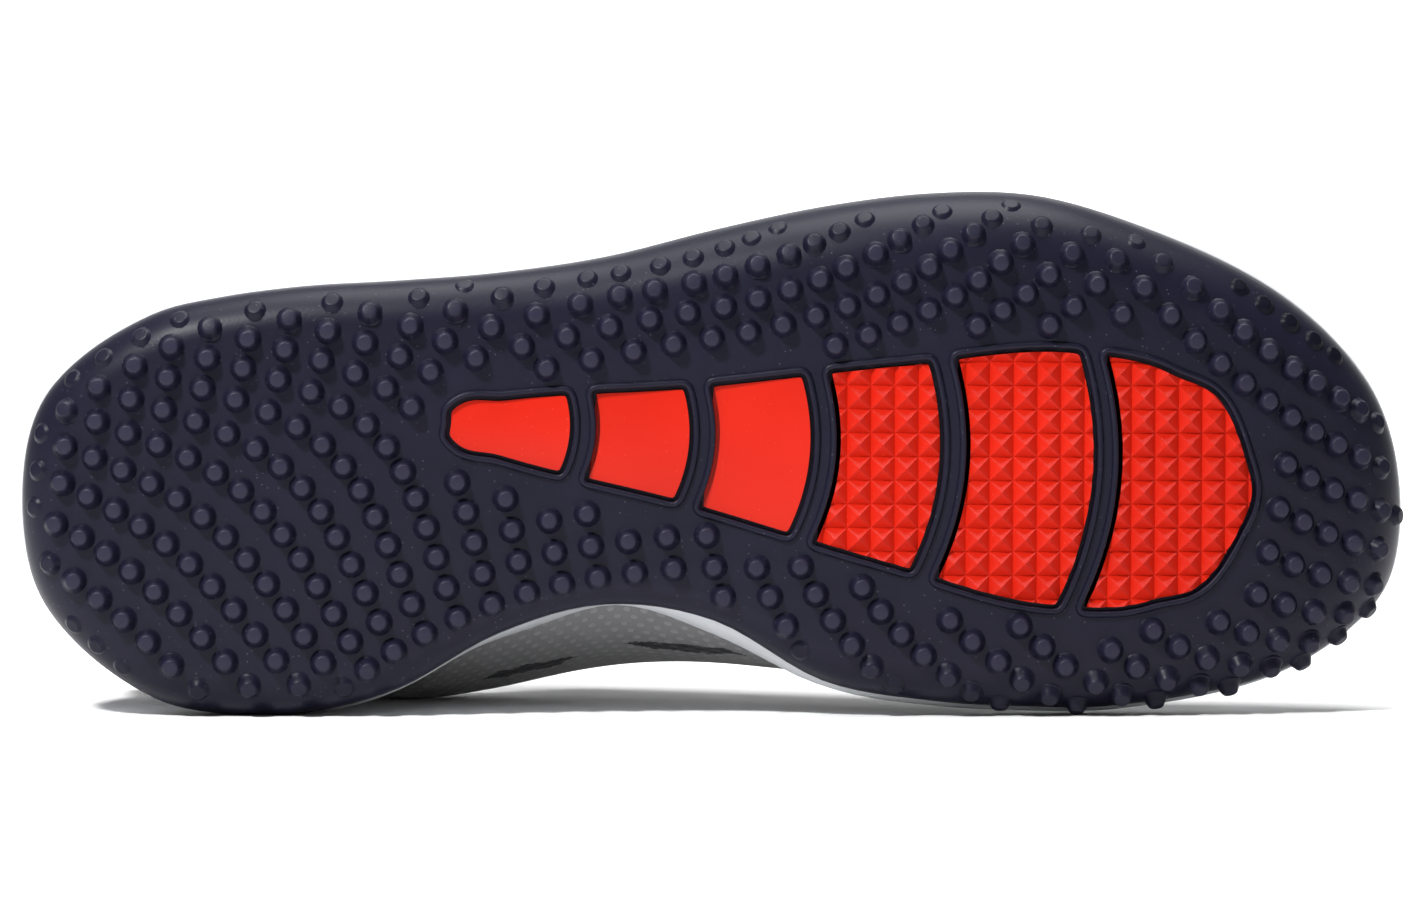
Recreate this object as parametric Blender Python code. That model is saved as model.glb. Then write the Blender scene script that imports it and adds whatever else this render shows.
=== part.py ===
"""Turf shoe for the right foot, lying on its inner side.

The shoe is modelled upright in its own axes, in metres: x runs from heel to toe, y towards the
inner side of the foot, and z up from the ground under the studs. Positions round the shoe are
given as a turn: 0 at the back of the heel, 1 at the tip of the toe on the inner side, and from
there back to 2 at the heel again along the outer side. At the end an empty lays the shoe down on
the edge of its sole and the side of its collar, as it comes to rest on a floor.
"""

import math

import bmesh
import bpy
import numpy as np
from mathutils import Matrix, Vector

# Main sizes
SOLE_LENGTH = 0.300
BALL_WIDTH = 0.112
BACK_HEIGHT = 0.097
TOE_SPRING = 0.014
HEEL_BEVEL = 0.004
ARCH_LIFT = 0.0015
EDGE_ROLL = 0.012
GAP = 0.0003
CUP_CLEAR = 0.0006
INSOLE_CLEAR = 0.0008

# Thicknesses
STUD_HEIGHT = 0.0030
RUBBER = 0.0028
HEEL_FOAM = 0.0200
BALL_FOAM = 0.0090
CUP_HEIGHT = 0.0080
CUP_WALL = 0.0026
WALL = 0.0022
COLLAR_PAD = 0.0042
OVERLAY = 0.0010
EYESTAY_FROM = 0.79
INSOLE = 0.0045
TONGUE = 0.0050

# Where the ground line bends, as shares of the sole's length
SPRING_FROM = 0.66
BEVEL_TO = 0.14
FOAM_FROM = 0.32
FOAM_TO = 0.66

# The outsole's lip over its rolled edge, and the belly of the foam above it
LIP_RISE = 0.0012
FOAM_INSET = 0.0002
FOAM_BELLY = 0.0016
BELLY_UP = 0.30

# How far the upper's lower edge sits inside the ends of the sole
HEEL_TUCK = 0.0085
TOE_TUCK = 0.0060

# Studs: a field of small cones that climbs a little way up the rolled edge
STUD_BASE = 0.0055
STUD_TOP = 0.0034
STUD_SINK = 0.0008
STUD_LIMIT = 60
STUD_FADE = 0.45
STUD_SIDES = 4

# Insert pads, set in pockets under the arch and the ball
PAD_POCKET = 0.0016
PAD_PROUD = 0.0004
PAD_MARGIN = 0.0009
PAD_BRIDGE = 0.0046
PAD_BOW = 0.20
LEAF_HEEL = (0.300, -0.155)
LEAF_TOE = (0.893, -0.015)
LEAF_WIDTH = 0.056
WINDOW_RIM = 0.0016

# Laces
EYELET_PAIRS = 5
EYELET_FROM = 0.535
EYELET_TO = 0.790
EYELET_INSET = 0.0080
LACE_WIDTH = 0.0065
LACE_THICK = 0.0016
LACE_CLEAR = 0.0005
LACE_CROWN = 0.05
LACE_END = 0.0022

# Tongue
TONGUE_FREE = 0.040
TONGUE_ANGLE = 36
TONGUE_TUCK = 0.015
TONGUE_EDGE = 0.84
TONGUE_NARROW = 0.14
TONGUE_CLEAR = 0.0012
TONGUE_TAPER = 0.34

# Densities in kilograms per cubic metre, for the balance of the lying shoe
RUBBER_DENSITY = 1100
FOAM_DENSITY = 220
CLOTH_DENSITY = 450

COLUMNS = 24
ROLL_RINGS = (0, 0.34, 0.67, 1)
MIRROR_TURN = 2.0

# The sole's outline. Half widths are shares of BALL_WIDTH, and rolls are shares of EDGE_ROLL.
OUTLINE = [
    # around, inner, outer, inner roll, outer roll
    (0.00, 0.000, 0.000, 0.80, 0.80),
    (0.05, 0.138, 0.133, 0.80, 0.80),
    (0.10, 0.234, 0.226, 0.82, 0.80),
    (0.20, 0.383, 0.359, 0.85, 0.80),
    (0.25, 0.414, 0.393, 0.85, 0.80),
    (0.30, 0.411, 0.414, 0.80, 0.80),
    (0.35, 0.362, 0.425, 0.60, 0.85),
    (0.40, 0.254, 0.441, 0.45, 0.90),
    (0.45, 0.198, 0.472, 0.42, 1.00),
    (0.50, 0.229, 0.525, 0.50, 1.10),
    (0.55, 0.345, 0.570, 0.70, 1.20),
    (0.60, 0.384, 0.596, 0.85, 1.25),
    (0.65, 0.396, 0.594, 0.90, 1.25),
    (0.70, 0.394, 0.547, 0.90, 1.20),
    (0.80, 0.338, 0.412, 0.95, 1.05),
    (0.90, 0.219, 0.228, 1.00, 1.00),
    (0.95, 0.143, 0.114, 1.00, 1.00),
    (1.00, 0.022, -0.022, 1.00, 1.00),
]

# The upper's lower edge, and how it swells from there. Half widths and swells are shares of
# BALL_WIDTH, rises are shares of BACK_HEIGHT, and cups are shares of CUP_HEIGHT.
FEATHER = [
    # around, inner, outer, inner swell, outer swell, rise, inner cup, outer cup
    (0.00, 0.000, 0.000, 0.063, 0.063, 0.175, 1.15, 1.15),
    (0.10, 0.185, 0.185, 0.063, 0.063, 0.175, 1.10, 1.10),
    (0.20, 0.290, 0.282, 0.055, 0.055, 0.175, 1.05, 1.05),
    (0.30, 0.322, 0.330, 0.055, 0.050, 0.175, 0.92, 1.00),
    (0.35, 0.288, 0.342, 0.086, 0.046, 0.175, 0.72, 1.00),
    (0.40, 0.222, 0.355, 0.136, 0.045, 0.175, 0.52, 1.00),
    (0.45, 0.165, 0.382, 0.198, 0.042, 0.175, 0.40, 0.95),
    (0.50, 0.215, 0.420, 0.155, 0.040, 0.165, 0.50, 0.90),
    (0.55, 0.303, 0.458, 0.078, 0.038, 0.165, 0.75, 0.85),
    (0.60, 0.335, 0.486, 0.054, 0.040, 0.165, 0.80, 0.80),
    (0.70, 0.348, 0.470, 0.042, 0.045, 0.165, 0.80, 0.80),
    (0.80, 0.296, 0.372, 0.040, 0.045, 0.175, 0.85, 0.85),
    (0.90, 0.180, 0.195, 0.045, 0.045, 0.195, 0.95, 0.95),
    (1.00, 0.022, -0.022, 0.050, 0.050, 0.215, 1.05, 1.05),
]

# The knee that bends the wall over the instep, and the top line of collar and throat. Lengths
# are shares of SOLE_LENGTH, half widths of BALL_WIDTH and heights of BACK_HEIGHT.
CROWN = [
    # around, knee x, inner, outer, z, top x, inner, outer, inner z, outer z
    (0.00, 0.005, 0.018, -0.018, 0.742, 0.023, 0.018, -0.018, 1.000, 1.000),
    (0.10, 0.022, 0.210, 0.165, 0.732, 0.040, 0.178, 0.125, 0.985, 0.985),
    (0.20, 0.100, 0.348, 0.295, 0.680, 0.107, 0.312, 0.232, 0.897, 0.890),
    (0.30, 0.207, 0.442, 0.370, 0.640, 0.207, 0.384, 0.304, 0.804, 0.780),
    (0.35, 0.273, 0.469, 0.380, 0.629, 0.267, 0.393, 0.312, 0.789, 0.758),
    (0.40, 0.337, 0.455, 0.366, 0.660, 0.323, 0.362, 0.286, 0.825, 0.800),
    (0.45, 0.383, 0.426, 0.348, 0.732, 0.367, 0.295, 0.214, 0.918, 0.905),
    (0.50, 0.423, 0.390, 0.335, 0.825, 0.400, 0.228, 0.130, 1.000, 1.000),
    (0.55, 0.477, 0.348, 0.335, 0.825, 0.443, 0.188, 0.094, 0.959, 0.959),
    (0.60, 0.540, 0.335, 0.344, 0.768, 0.493, 0.156, 0.080, 0.892, 0.892),
    (0.70, 0.653, 0.277, 0.330, 0.660, 0.570, 0.107, 0.071, 0.778, 0.778),
    (0.80, 0.750, 0.188, 0.237, 0.608, 0.620, 0.071, 0.054, 0.711, 0.711),
    (0.90, 0.823, 0.094, 0.116, 0.582, 0.643, 0.040, 0.022, 0.686, 0.686),
    (1.00, 0.847, 0.018, -0.018, 0.572, 0.650, 0.009, -0.009, 0.678, 0.678),
]

# The studs stand along arcs that sweep across the sole and spread out from the arch. The table
# gives places on every fourth arc, x as a share of SOLE_LENGTH and y as one of BALL_WIDTH.
STUD_ARCS = [
    # arc, x and y of studs 0, 7, 14, 21 and 28, counted from the outer side
    (-2, -0.136, 0.152, -0.005, 0.353, 0.124, 0.706, 0.260, 1.057, 0.392, 1.411),
    (2, -0.046, -0.062, 0.083, 0.133, 0.200, 0.451, 0.323, 0.800, 0.445, 1.145),
    (6, 0.037, -0.242, 0.190, -0.069, 0.271, 0.285, 0.346, 0.711, 0.425, 1.128),
    (10, 0.144, -0.396, 0.315, -0.214, 0.366, 0.173, 0.415, 0.622, 0.485, 1.057),
    (14, 0.268, -0.566, 0.442, -0.291, 0.471, 0.126, 0.538, 0.551, 0.657, 0.897),
    (18, 0.375, -0.628, 0.549, -0.343, 0.594, 0.108, 0.705, 0.405, 0.872, 0.640),
    (22, 0.455, -0.766, 0.635, -0.426, 0.728, -0.030, 0.833, 0.274, 1.010, 0.356),
    (26, 0.532, -0.927, 0.699, -0.555, 0.824, -0.163, 0.941, 0.059, 1.090, 0.145),
    (30, 0.603, -1.089, 0.756, -0.717, 0.897, -0.389, 1.023, -0.202, 1.167, -0.127),
]
STUD_STEPS = (0, 7, 14, 21, 28)
LAST_ARC = 31

# How far up the sole's rolled edge the studs climb, as shares of STUD_LIMIT
STUD_CLIMB = [
    # around, inner, outer
    (0.00, 0.65, 0.65),
    (0.25, 0.55, 0.70),
    (0.45, 0.55, 0.75),
    (0.60, 1.25, 0.80),
    (0.80, 1.25, 0.70),
    (1.00, 0.90, 0.90),
]

# The leaf-shaped field of pads: half width at each share of its length
LEAF = [
    (0.00, 0.00),
    (0.02, 0.15),
    (0.08, 0.24),
    (0.30, 0.46),
    (0.55, 0.78),
    (0.76, 1.00),
    (0.88, 0.90),
    (0.96, 0.58),
    (1.00, 0.00),
]
PAD_CUTS = [0.0, 0.17, 0.31, 0.45, 0.60, 0.78, 1.0]

# Rows of the upper's wall above the midsole's cup, as shares of what is left of its height
WALL_ROWS = [0.16, 0.30, 0.36, 0.50, 0.64, 0.76, 0.80, 0.90, 1.0]


def start():
    """Empties the scene and makes the collections for the shoe and its cutters."""
    for old in list(bpy.data.objects):
        bpy.data.objects.remove(old)
    made = []
    for name in ("turf_shoe", "cutters"):
        collection = bpy.data.collections.new(name)
        bpy.context.scene.collection.children.link(collection)
        made.append(collection)
    return made


SHOE, CUTTERS = start()


def closed_curve(rows, inner, outer, sign):
    """A smooth closed curve round the shoe through a table's inner and outer columns."""
    table = np.array(rows, float)
    knots = np.concatenate([table[:, 0], MIRROR_TURN - table[-2:0:-1, 0]])
    values = np.concatenate([table[:, inner], sign * table[-2:0:-1, outer]])
    before, after = np.roll(knots, 1), np.roll(knots, -1)
    before[0] -= MIRROR_TURN
    after[-1] += MIRROR_TURN
    slopes = (np.roll(values, -1) - np.roll(values, 1)) / (after - before)

    def at(turn):
        turn = np.mod(turn, MIRROR_TURN)
        k = np.clip(np.searchsorted(knots, turn, side="right") - 1, 0, len(knots) - 1)
        following = (k + 1) % len(knots)
        step = after[k] - knots[k]
        u = (turn - knots[k]) / step
        return (
            values[k] * (1 + 2 * u) * (1 - u) ** 2
            + slopes[k] * step * u * (1 - u) ** 2
            + values[following] * u * u * (3 - 2 * u)
            + slopes[following] * step * u * u * (u - 1)
        )

    return at


def open_curve(rows, column):
    """A smooth curve through one column of a table, against its first column."""
    table = np.array(rows, float)
    knots, values = table[:, 0], table[:, column]
    slopes = np.gradient(values, knots)

    def at(share):
        share = np.clip(share, knots[0], knots[-1])
        k = np.clip(np.searchsorted(knots, share, side="right") - 1, 0, len(knots) - 2)
        step = knots[k + 1] - knots[k]
        u = (share - knots[k]) / step
        return (
            values[k] * (1 + 2 * u) * (1 - u) ** 2
            + slopes[k] * step * u * (1 - u) ** 2
            + values[k + 1] * u * u * (3 - 2 * u)
            + slopes[k + 1] * step * u * u * (u - 1)
        )

    return at


sole_side = closed_curve(OUTLINE, 1, 2, -1)
sole_roll = closed_curve(OUTLINE, 3, 4, 1)
feather_side = closed_curve(FEATHER, 1, 2, -1)
feather_swell = closed_curve(FEATHER, 3, 4, 1)
feather_rise = closed_curve(FEATHER, 5, 5, 1)
cup_share = closed_curve(FEATHER, 6, 7, 1)
knee_x = closed_curve(CROWN, 1, 1, 1)
knee_side = closed_curve(CROWN, 2, 3, -1)
knee_z = closed_curve(CROWN, 4, 4, 1)
top_x = closed_curve(CROWN, 5, 5, 1)
top_side = closed_curve(CROWN, 6, 7, -1)
top_z = closed_curve(CROWN, 8, 9, 1)
stud_reach = closed_curve(STUD_CLIMB, 1, 2, 1)
leaf_half = open_curve(LEAF, 1)
arc_curves = [open_curve(STUD_ARCS, column) for column in range(1, len(STUD_ARCS[0]))]


def stack(x, y, z):
    return np.stack(np.broadcast_arrays(x, y, z), axis=-1)


def unit(vectors):
    return vectors / np.linalg.norm(vectors, axis=-1, keepdims=True)


def ease(share):
    share = np.clip(share, 0, 1)
    return share * share * (3 - 2 * share)


# The sole's skin


def along(turn):
    return (1 - np.cos(np.pi * np.asarray(turn, float))) / 2


def sole_edge(turn):
    """The outline in plan."""
    return np.stack(
        [SOLE_LENGTH * along(turn), BALL_WIDTH * sole_side(turn)], axis=-1
    )


def edge_normal(turn):
    """The outline's outward direction in plan."""
    step = 0.004
    tangent = unit(sole_edge(turn + step) - sole_edge(turn - step))
    return np.stack([-tangent[..., 1], tangent[..., 0]], axis=-1)


def spring(x):
    share = np.clip((x / SOLE_LENGTH - SPRING_FROM) / (1 - SPRING_FROM), 0, None)
    return TOE_SPRING * share**2


def tread_height(x):
    """Height of the rubber's underside, between the studs."""
    share = x / SOLE_LENGTH
    bevel = HEEL_BEVEL * np.clip(1 - share / BEVEL_TO, 0, None) ** 2
    arch = ARCH_LIFT * ease((share - 0.25) / 0.15) * ease((0.62 - share) / 0.15)
    return STUD_HEIGHT + spring(x) + bevel + arch


def sole_point(turn, angle, depth):
    """A point of the sole, depth inside its skin. The angle runs round the rolled edge, from 0
    underneath to a right angle at the side."""
    edge, normal = sole_edge(turn), edge_normal(turn)
    roll = EDGE_ROLL * sole_roll(turn)
    inward = roll - (roll - depth) * math.sin(angle)
    plan = edge - normal * inward[..., None]
    z = tread_height(plan[..., 0]) + roll - (roll - depth) * math.cos(angle)
    return stack(plan[..., 0], plan[..., 1], z)


def rubber_lip(turn):
    """Height at which the outsole's turned-up edge ends."""
    edge = sole_edge(turn)
    return tread_height(edge[..., 0]) + EDGE_ROLL * sole_roll(turn) + LIP_RISE


def bed_height(x):
    """Height of the midsole's bed, on which the upper and the insole stand."""
    share = (x / SOLE_LENGTH - FOAM_FROM) / (FOAM_TO - FOAM_FROM)
    foam = HEEL_FOAM + (BALL_FOAM - HEEL_FOAM) * ease(share)
    return STUD_HEIGHT + RUBBER + GAP + foam + spring(x)


# The upper's skin


def fan(turn):
    """The direction in plan in which the upper's wall swells."""
    lean = 2 * np.abs(1 - np.mod(turn, MIRROR_TURN)) - 1
    angle = np.pi / 2 * (1 - np.sign(lean) * np.abs(lean) ** 3)
    side = np.where(np.mod(turn, MIRROR_TURN) <= 1, 1.0, -1.0)
    return np.stack([-np.cos(angle), side * np.sin(angle)], axis=-1)


def last_point(turn, rise):
    """A point of the smooth wall, from its lower edge at rise 0 to the top line at rise 1."""
    foot_x = HEEL_TUCK + (SOLE_LENGTH - HEEL_TUCK - TOE_TUCK) * along(turn)
    foot = stack(foot_x, BALL_WIDTH * feather_side(turn), bed_height(foot_x) + GAP)
    swell = fan(turn) * (BALL_WIDTH * feather_swell(turn))[..., None]
    lift = BACK_HEIGHT * feather_rise(turn)
    flank = foot + stack(swell[..., 0], swell[..., 1], lift)
    knee = stack(
        SOLE_LENGTH * knee_x(turn),
        BALL_WIDTH * knee_side(turn),
        BACK_HEIGHT * knee_z(turn),
    )
    top = stack(
        SOLE_LENGTH * top_x(turn), BALL_WIDTH * top_side(turn), BACK_HEIGHT * top_z(turn)
    )
    t = np.asarray(rise, float)[..., None]
    return (
        foot * (1 - t) ** 3
        + flank * 3 * t * (1 - t) ** 2
        + knee * 3 * t * t * (1 - t)
        + top * t**3
    )


def last_frame(turn, rise):
    """The wall's outward normal and its upward direction."""
    step = 0.004
    low, high = np.clip(rise - step, 0, 1), np.clip(rise + step, 0, 1)
    upward = last_point(turn, high) - last_point(turn, low)
    onward = last_point(turn + step, rise) - last_point(turn - step, rise)
    return unit(np.cross(upward, onward)), unit(upward)


def around_share(turn):
    """How far round the shoe a turn lies, from 0 at the heel to 1 at the toe, on either side."""
    turn = np.mod(turn, MIRROR_TURN)
    return np.where(turn <= 1, turn, MIRROR_TURN - turn)


def wall_depth(turn, rise):
    """Thickness of the wall: thin mesh, padded round the collar."""
    around = around_share(turn)
    collar = ease((0.53 - around) / 0.08)
    return WALL + COLLAR_PAD * collar * ease((rise - 0.55) / 0.35)


def overlay_step(turn, rise):
    """How far the toe guard, heel counter and eyestay stand out of the wall."""
    around = around_share(turn)
    toe_guard = ease((around - 0.86) / 0.03) * ease((0.40 - rise) / 0.04)
    counter = ease((0.22 - around) / 0.03) * ease((0.62 - rise) / 0.05)
    eyestay = ease((around - 0.45) / 0.03) * ease((rise - EYESTAY_FROM) / 0.03)
    return OVERLAY * np.maximum(toe_guard, np.maximum(counter, eyestay))


def skin_point(turn, rise, clear=0.0):
    """The wall's outside, or a point clear of it."""
    normal, _ = last_frame(turn, rise)
    out = overlay_step(turn, rise) + clear
    return last_point(turn, rise) + normal * out[..., None]


def lining_point(turn, rise, clear=0.0):
    """The wall's inside, or a point clear of it."""
    normal, _ = last_frame(turn, rise)
    depth = wall_depth(turn, rise) + clear
    return last_point(turn, rise) - normal * depth[..., None]


def rise_at(turn, height):
    """How far up the wall it reaches a height, near its lower edge."""
    rises = np.linspace(0, 0.6, 61)
    found = []
    for one_turn, one_height in zip(turn, height):
        z = last_point(np.full(61, one_turn), rises)[:, 2]
        found.append(np.interp(one_height, z, rises))
    return np.array(found)


# Meshes


def new_object(name, mesh, material, collection=None):
    made = bpy.data.objects.new(name, mesh)
    (collection or SHOE).objects.link(made)
    if material:
        mesh.materials.append(material)
    return made


def helper(obj):
    obj.hide_render = True
    obj.display_type = "WIRE"
    return obj


def finish_mesh(name, work):
    bmesh.ops.remove_doubles(work, verts=work.verts, dist=1e-6)
    bmesh.ops.recalc_face_normals(work, faces=work.faces)
    mesh = bpy.data.meshes.new(name)
    work.to_mesh(mesh)
    work.free()
    return mesh


def band(work, low, high):
    """Quads between two closed rings of vertices."""
    count = len(low)
    for i in range(count):
        j = (i + 1) % count
        work.faces.new((low[i], low[j], high[j], high[i]))


def ladder(work, ring):
    """Closes a ring of the shoe's outline with strips from its inner to its outer side."""
    count = len(ring)
    half = count // 2
    work.faces.new((ring[0], ring[1], ring[-1]))
    for i in range(1, half - 1):
        work.faces.new((ring[i], ring[i + 1], ring[count - i - 1], ring[count - i]))
    work.faces.new((ring[half - 1], ring[half], ring[half + 1]))


def ring_solid(name, rings, material, hollow=False):
    """A solid lofted through rings that go round the shoe. It is closed by strips across its
    first and last ring or, when hollow, by joining the last ring to the first."""
    work = bmesh.new()
    loops = [[work.verts.new(point) for point in ring] for ring in rings]
    for low, high in zip(loops, loops[1:]):
        band(work, low, high)
    if hollow:
        band(work, loops[-1], loops[0])
    else:
        ladder(work, loops[0])
        ladder(work, loops[-1])
    return new_object(name, finish_mesh(name, work), material)


def plain_material(name, colour, roughness):
    made = bpy.data.materials.new(name)
    made.use_nodes = True
    shader = made.node_tree.nodes["Principled BSDF"]
    shader.inputs["Base Color"].default_value = (*colour, 1)
    shader.inputs["Roughness"].default_value = roughness
    shader.inputs["Metallic"].default_value = 0.0
    made.diffuse_color = (*colour, 1)
    return made


NAVY_RUBBER = plain_material("navy_rubber", (0.022, 0.021, 0.040), 0.45)
RED_RUBBER = plain_material("red_rubber", (0.80, 0.035, 0.010), 0.40)
WHITE_FOAM = plain_material("white_foam", (0.80, 0.81, 0.82), 0.60)
GREY_MESH = plain_material("grey_mesh", (0.32, 0.32, 0.33), 0.85)
LINING_CLOTH = plain_material("lining_cloth", (0.03, 0.03, 0.05), 0.90)
LACE_CLOTH = plain_material("lace_cloth", (0.60, 0.61, 0.62), 0.85)

TURNS = np.arange(2 * COLUMNS) / COLUMNS


# Insert pads


def leaf_frame():
    """The heel end of the leaf, its direction, its sideways direction and its length."""
    heel = np.array([LEAF_HEEL[0] * SOLE_LENGTH, LEAF_HEEL[1] * BALL_WIDTH])
    toe = np.array([LEAF_TOE[0] * SOLE_LENGTH, LEAF_TOE[1] * BALL_WIDTH])
    length = np.linalg.norm(toe - heel)
    forward = (toe - heel) / length
    return heel, forward, np.array([-forward[1], forward[0]]), length


def leaf_point(share, side):
    """A point of the leaf in plan. Cuts across it bow towards the toe at its middle."""
    heel, forward, sideways, length = leaf_frame()
    half = LEAF_WIDTH / 2 * leaf_half(share)
    bow = PAD_BOW * half * (1 - side * side)
    return heel + forward * (share * length + bow) + sideways * (side * half)


def pad_outline(start_share, end_share, grow):
    """The outline of one pad in plan, grown by a clearance."""
    _, _, _, length = leaf_frame()
    bridge = PAD_BRIDGE / 2 / length
    first = start_share + (bridge if start_share > 0 else 0.012)
    last = end_share - (bridge if end_share < 1 else 0.012)
    sides = [-1.0, -0.5, 0.5, 1.0]
    middle = np.linspace(first, last, 4)[1:-1]
    points = [leaf_point(first, side) for side in sides]
    points += [leaf_point(share, 1.0) for share in middle]
    points += [leaf_point(last, side) for side in reversed(sides)]
    points += [leaf_point(share, -1.0) for share in reversed(middle)]
    points = np.array(points)
    centre = points.mean(axis=0)
    following, before = np.roll(points, -1, axis=0), np.roll(points, 1, axis=0)
    tangent = unit(following - before)
    outward = np.stack([tangent[:, 1], -tangent[:, 0]], axis=-1)
    facing = np.sign(((points - centre) * outward).sum())
    return points + outward * facing * (grow - PAD_MARGIN)


def prism(name, outline, low, high, material, collection=None):
    """A plate over an outline in plan, between two heights measured from the tread."""
    work = bmesh.new()
    ground = tread_height(outline[:, 0])
    rings = [
        [work.verts.new((x, y, g + offset)) for (x, y), g in zip(outline, ground)]
        for offset in (low, high)
    ]
    band(work, rings[0], rings[1])
    for ring in rings:
        work.faces.new(ring)
    bmesh.ops.triangulate(work, faces=[f for f in work.faces if len(f.verts) > 4])
    return new_object(name, finish_mesh(name, work), material, collection)


def insert_pads():
    pads, pockets = [], []
    for number, (first, last) in enumerate(zip(PAD_CUTS, PAD_CUTS[1:]), 1):
        outline = pad_outline(first, last, 0.0)
        pads.append(
            prism(f"insert_{number}", outline, -PAD_PROUD, PAD_POCKET - GAP, RED_RUBBER)
        )
        pocket = pad_outline(first, last, PAD_MARGIN)
        cutter = prism(f"pocket_{number}", pocket, -0.004, PAD_POCKET, None, CUTTERS)
        pockets.append(helper(cutter))
    return pads, pockets


# Outsole


def leaf_distance(point):
    """How far a point in plan lies outside the leaf, or a negative number inside it."""
    heel, forward, sideways, length = leaf_frame()
    shares = np.linspace(0, 1, 60)
    edge = np.array([leaf_point(s, side) for side in (-1, 1) for s in shares])
    nearest = np.linalg.norm(edge - point, axis=1).min()
    share = (point - heel) @ forward / length
    inside = 0 < share < 1
    inside = inside and abs((point - heel) @ sideways) < LEAF_WIDTH / 2 * leaf_half(share)
    return -nearest if inside else nearest


def stud_arc(arc):
    """Plan of all the studs on one arc of the field."""
    places = [float(curve(arc)) for curve in arc_curves]
    rows = list(zip(STUD_STEPS, places[::2], places[1::2]))
    number = np.arange(STUD_STEPS[-1] + 1)
    x = SOLE_LENGTH * open_curve(rows, 1)(number)
    y = BALL_WIDTH * open_curve(rows, 2)(number)
    return np.stack([x, y], axis=-1)


def facet_depth(turn, roll):
    """How far the flat facets of the rolled edge lie inside its smooth curve."""
    low = np.floor(turn * COLUMNS)
    share = turn * COLUMNS - low
    chord = sole_edge(low / COLUMNS) * (1 - share) + sole_edge((low + 1) / COLUMNS) * share
    outline = abs((sole_edge(turn) - chord) @ edge_normal(turn))
    widest = max(np.diff(ROLL_RINGS)) * math.pi / 2
    return outline + roll * (1 - math.cos(widest / 2))


def stud_places():
    """Foot, direction, size and depth of each stud, on the tread and up its rolled edge."""
    dense = np.arange(800) / 400
    edge, normal = sole_edge(dense), edge_normal(dense)
    roll = EDGE_ROLL * sole_roll(dense)
    places = []
    for spot in np.concatenate([stud_arc(arc) for arc in range(-1, LAST_ARC + 1)]):
        offset = spot - edge
        near = np.linalg.norm(offset, axis=1).argmin()
        reach = -(offset[near] @ normal[near]) + (math.pi / 2 - 1) * roll[near]
        if leaf_distance(spot) < STUD_BASE / 2 + WINDOW_RIM:
            continue
        if reach > math.pi / 2 * roll[near]:
            x, y = spot
            slope = (tread_height(x + GAP) - tread_height(x - GAP)) / (2 * GAP)
            facing = unit(np.array([slope, 0, -1]))
            places.append(((x, y, tread_height(x)), facing, 1.0, STUD_SINK))
            continue
        angle = math.pi / 2 - reach / roll[near]
        limit = math.radians(STUD_LIMIT * float(stud_reach(dense[near])))
        if angle > limit:
            continue
        foot = sole_point(dense[near : near + 1], angle, 0.0)[0]
        out = normal[near] * math.sin(angle)
        facing = np.array([out[0], out[1], -math.cos(angle)])
        size = 1 - STUD_FADE * ease(angle / limit)
        sink = STUD_SINK + facet_depth(dense[near], roll[near])
        places.append((foot, facing, size, sink))
    return places


def studs(places):
    """All the studs as small frustums sunk a little into the rubber."""
    work = bmesh.new()
    corner = math.sqrt(2 * math.pi / (STUD_SIDES * math.sin(2 * math.pi / STUD_SIDES)))
    for foot, direction, size, sink in places:
        tall = STUD_HEIGHT * size + sink
        turned = Vector(direction).to_track_quat("Z", "Y").to_matrix().to_4x4()
        middle = Vector(foot) + Vector(direction) * (tall / 2 - sink)
        bmesh.ops.create_cone(
            work,
            cap_ends=True,
            segments=STUD_SIDES,
            radius1=STUD_BASE / 2 * corner,
            radius2=STUD_TOP / 2 * corner,
            depth=tall,
            matrix=Matrix.Translation(middle) @ turned,
        )
    return helper(new_object("studs", finish_mesh("studs", work), None, CUTTERS))


def boolean(obj, other, operation):
    step = obj.modifiers.new(f"{operation}_{other.name}".lower(), "BOOLEAN")
    step.operation = operation
    step.use_self = operation == "UNION"
    if isinstance(other, bpy.types.Collection):
        step.operand_type = "COLLECTION"
        step.collection = other
    else:
        step.object = other


def outsole(pockets):
    """The rubber tread: a shallow cup with studs underneath and pockets for the insert."""
    quarter = math.pi / 2
    rings = [sole_point(TURNS, quarter * share, 0.0) for share in ROLL_RINGS]
    inner = [sole_point(TURNS, quarter * share, RUBBER) for share in (1, 0.5, 0)]
    for wall in (rings[-1], inner[0]):
        lip = wall.copy()
        lip[:, 2] = rubber_lip(TURNS)
        rings.append(lip)
    made = ring_solid("outsole", rings + inner, NAVY_RUBBER)
    for pocket in pockets:
        boolean(made, pocket, "DIFFERENCE")
    boolean(made, studs(stud_places()), "UNION")
    return made


# Midsole


def cup_rises():
    """How far up the wall the midsole's cup reaches at each column."""
    foot_x = last_point(TURNS, np.zeros(len(TURNS)))[:, 0]
    return rise_at(TURNS, bed_height(foot_x) + CUP_HEIGHT * cup_share(TURNS))


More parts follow.
